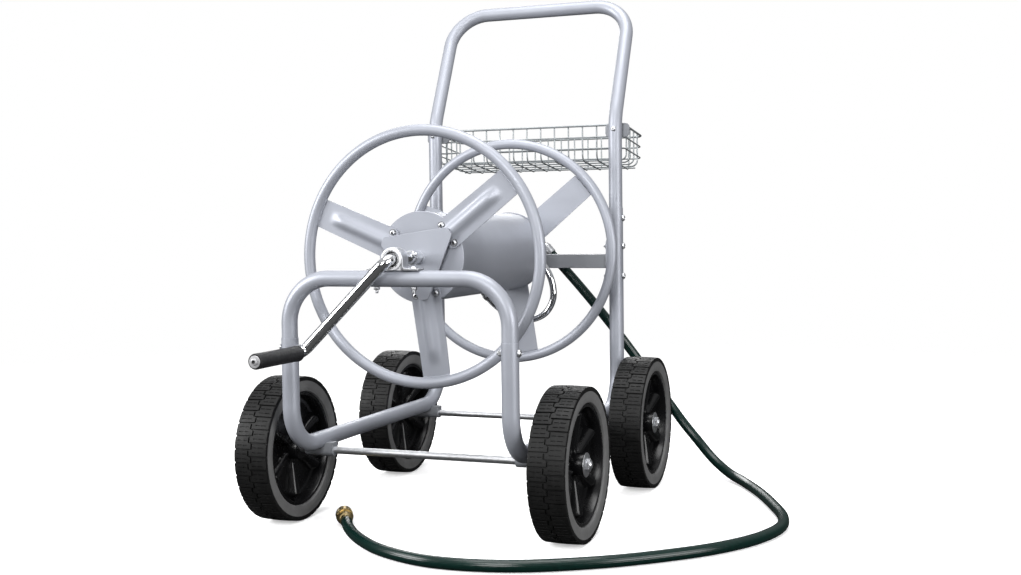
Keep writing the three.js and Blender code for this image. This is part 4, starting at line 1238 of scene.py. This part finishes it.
class CART_OT_basket(bpy.types.Operator):
    """Welds the wire basket and hangs it on its two plates"""

    bl_idname = "cart.basket"
    bl_label = "Basket"

    def execute(self, context):
        looks = finishes()
        sizes = context.scene.cart_sizes
        thin = sizes.wire / MM / 2
        spacing = sizes.wire_spacing / MM
        thick = thin * RIM_WIRE
        low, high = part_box("basket")
        front = (low.y - AXLE_Y) / MM
        near, far = front + thick, (high.y - AXLE_Y) / MM - thick
        west, east = low.x / MM + thick, high.x / MM - thick
        rim_z = high.z / MM - thick
        floor_z = rim_z + thick - BASKET_HEIGHT + thin
        fall = Matrix.Identity(4)
        fall[2][1] = -BASKET_FALL
        fall[2][3] = BASKET_FALL * front
        wires = Shape()

        def belt(inset, z, bend, radius, sides):
            n, f, w, e = near + inset, far - inset, west + inset, east - inset
            loop = bent([(0, n, z), (e, n, z), (e, f, z), (w, f, z), (w, n, z), (0, n, z)], bend, 8)
            wires.add(rod(loop[:-1], radius, sides, loop=True), fall)

        belt(0, rim_z, 16, thick, 14)
        inset = thick + thin
        count = int((east - west - 2 * inset) / spacing)
        for index in range(count):
            x = spacing * (index - (count - 1) / 2)
            ends = ((near + inset, rim_z), (near + inset, floor_z), (far - inset, floor_z),
                    (far - inset, rim_z))
            wires.add(rod(bent([(x, y, z) for y, z in ends], 13, 8), thin, 10), fall)
        cross_z = floor_z + 2 * thin
        for share in (0.2, 0.4, 0.6, 0.8):
            y = near + (far - near) * share
            ends = ((west + inset, rim_z), (west + inset, cross_z), (east - inset, cross_z),
                    (east - inset, rim_z))
            wires.add(rod(bent([(x, y, z) for x, z in ends], 13, 8), thin, 10), fall)
        for drop in (23, 46):
            belt(thin, rim_z - drop, 15, thin, 10)
        for y in (near + inset + 4, far - inset - 4):
            wires.add(rod([(west + 14, y, cross_z), (east - 14, y, cross_z)], thin, 10), fall)
        make("basket_wires", wires, looks["wire"], replaces=("basket",), sharp=60)
        for side, sign in SIDES:
            x = sign * RAIL_X
            low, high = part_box(f"basket_plate_{side}")
            face, back = (low.y - AXLE_Y) / MM, (high.y - AXLE_Y) / MM
            base, lid = low.z / MM, high.z / MM
            outline = soft_outline([(x - 25, base), (x + 25, base), (x + 25, lid), (x - 25, lid)], 9, 8)
            plate = Shape().add(prism(outline, face, back))
            make(f"plate_{side}", plate, looks["brace"], replaces=(f"basket_plate_{side}",), edge=0.6)
            screw = Shape().add(dome_head(5, 3.4), aim((x, REAR_LEG_Y - 13.2, PLATE_SCREW_Z), (0, -1, 0)))
            screw.add(hex_nut(9, 4), aim((x, back + 0.2, PLATE_SCREW_Z), (0, 1, 0)))
            make(f"plate_screw_{side}", screw, looks["zinc"], edge=0.3)
        return {"FINISHED"}


# ---- frame bolts -----------------------------------------------------------------------------------


class CART_OT_bolts(bpy.types.Operator):
    """Puts the through bolts in the hoops and the brace"""

    bl_idname = "cart.bolts"
    bl_label = "Frame bolts"

    def execute(self, context):
        zinc = finishes()["zinc"]
        for name in sorted(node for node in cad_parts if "_bolt_" in node):
            low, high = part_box(name)
            middle = centre(name)
            y, z = (middle.y - AXLE_Y) / MM, middle.z / MM
            sign = 1 if middle.x > 0 else -1
            outside = sign * (RAIL_X + 14.4)
            inside = (low.x if sign > 0 else high.x) / MM
            head = aim((outside, y, z), (sign, 0, 0))
            bolt = Shape().add(dome_head(6, 4.2), head)
            bolt.add(turned([(0, -0.2), (7, -0.2), (7, 0.8), (0, 0.8)], 28), head)
            bolt.add(rod([(outside, y, z), (inside + sign * 4, y, z)], 2.9, 16))
            bolt.add(hex_nut(10, 5), aim((inside + sign * 7.4, y, z), (-sign, 0, 0)))
            bolt.add(thread(2.9, 4, 1), aim((inside + sign * 3.4, y, z), (-sign, 0, 0)))
            make(f"{name}_fine", bolt, zinc, replaces=(name,), edge=0.3)
        return {"FINISHED"}


# ---- panel and start -------------------------------------------------------------------------------


STEPS = (CART_OT_stage, CART_OT_hose, CART_OT_frame, CART_OT_brace, CART_OT_axles, CART_OT_wheels,
         CART_OT_flanges, CART_OT_drum, CART_OT_bearings, CART_OT_crank, CART_OT_water, CART_OT_basket,
         CART_OT_bolts)
SETTINGS = (("cart_finishes", CartFinishes), ("cart_sizes", CartSizes), ("cart_stage", CartStage))


class CART_PT_panel(bpy.types.Panel):
    """Lists the cart's settings and its steps"""

    bl_idname = "CART_PT_panel"
    bl_label = "Hose reel cart"
    bl_space_type = "VIEW_3D"
    bl_region_type = "UI"
    bl_category = "Hose cart"

    def draw(self, context):
        for name, group in SETTINGS:
            for setting in group.__annotations__:
                self.layout.prop(getattr(context.scene, name), setting)
        for step in STEPS:
            self.layout.operator(step.bl_idname)


def register():
    for name, group in SETTINGS:
        bpy.utils.register_class(group)
        setattr(bpy.types.Scene, name, PointerProperty(type=group))
    for step in STEPS:
        bpy.utils.register_class(step)
    bpy.utils.register_class(CART_PT_panel)


def unregister():
    bpy.utils.unregister_class(CART_PT_panel)
    for step in reversed(STEPS):
        bpy.utils.unregister_class(step)
    for name, group in SETTINGS:
        delattr(bpy.types.Scene, name)
        bpy.utils.unregister_class(group)


def main():
    register()
    for step in STEPS:
        operator = getattr(bpy.ops.cart, step.bl_idname.split(".")[1])
        operator()


if __name__ == "__main__":
    main()
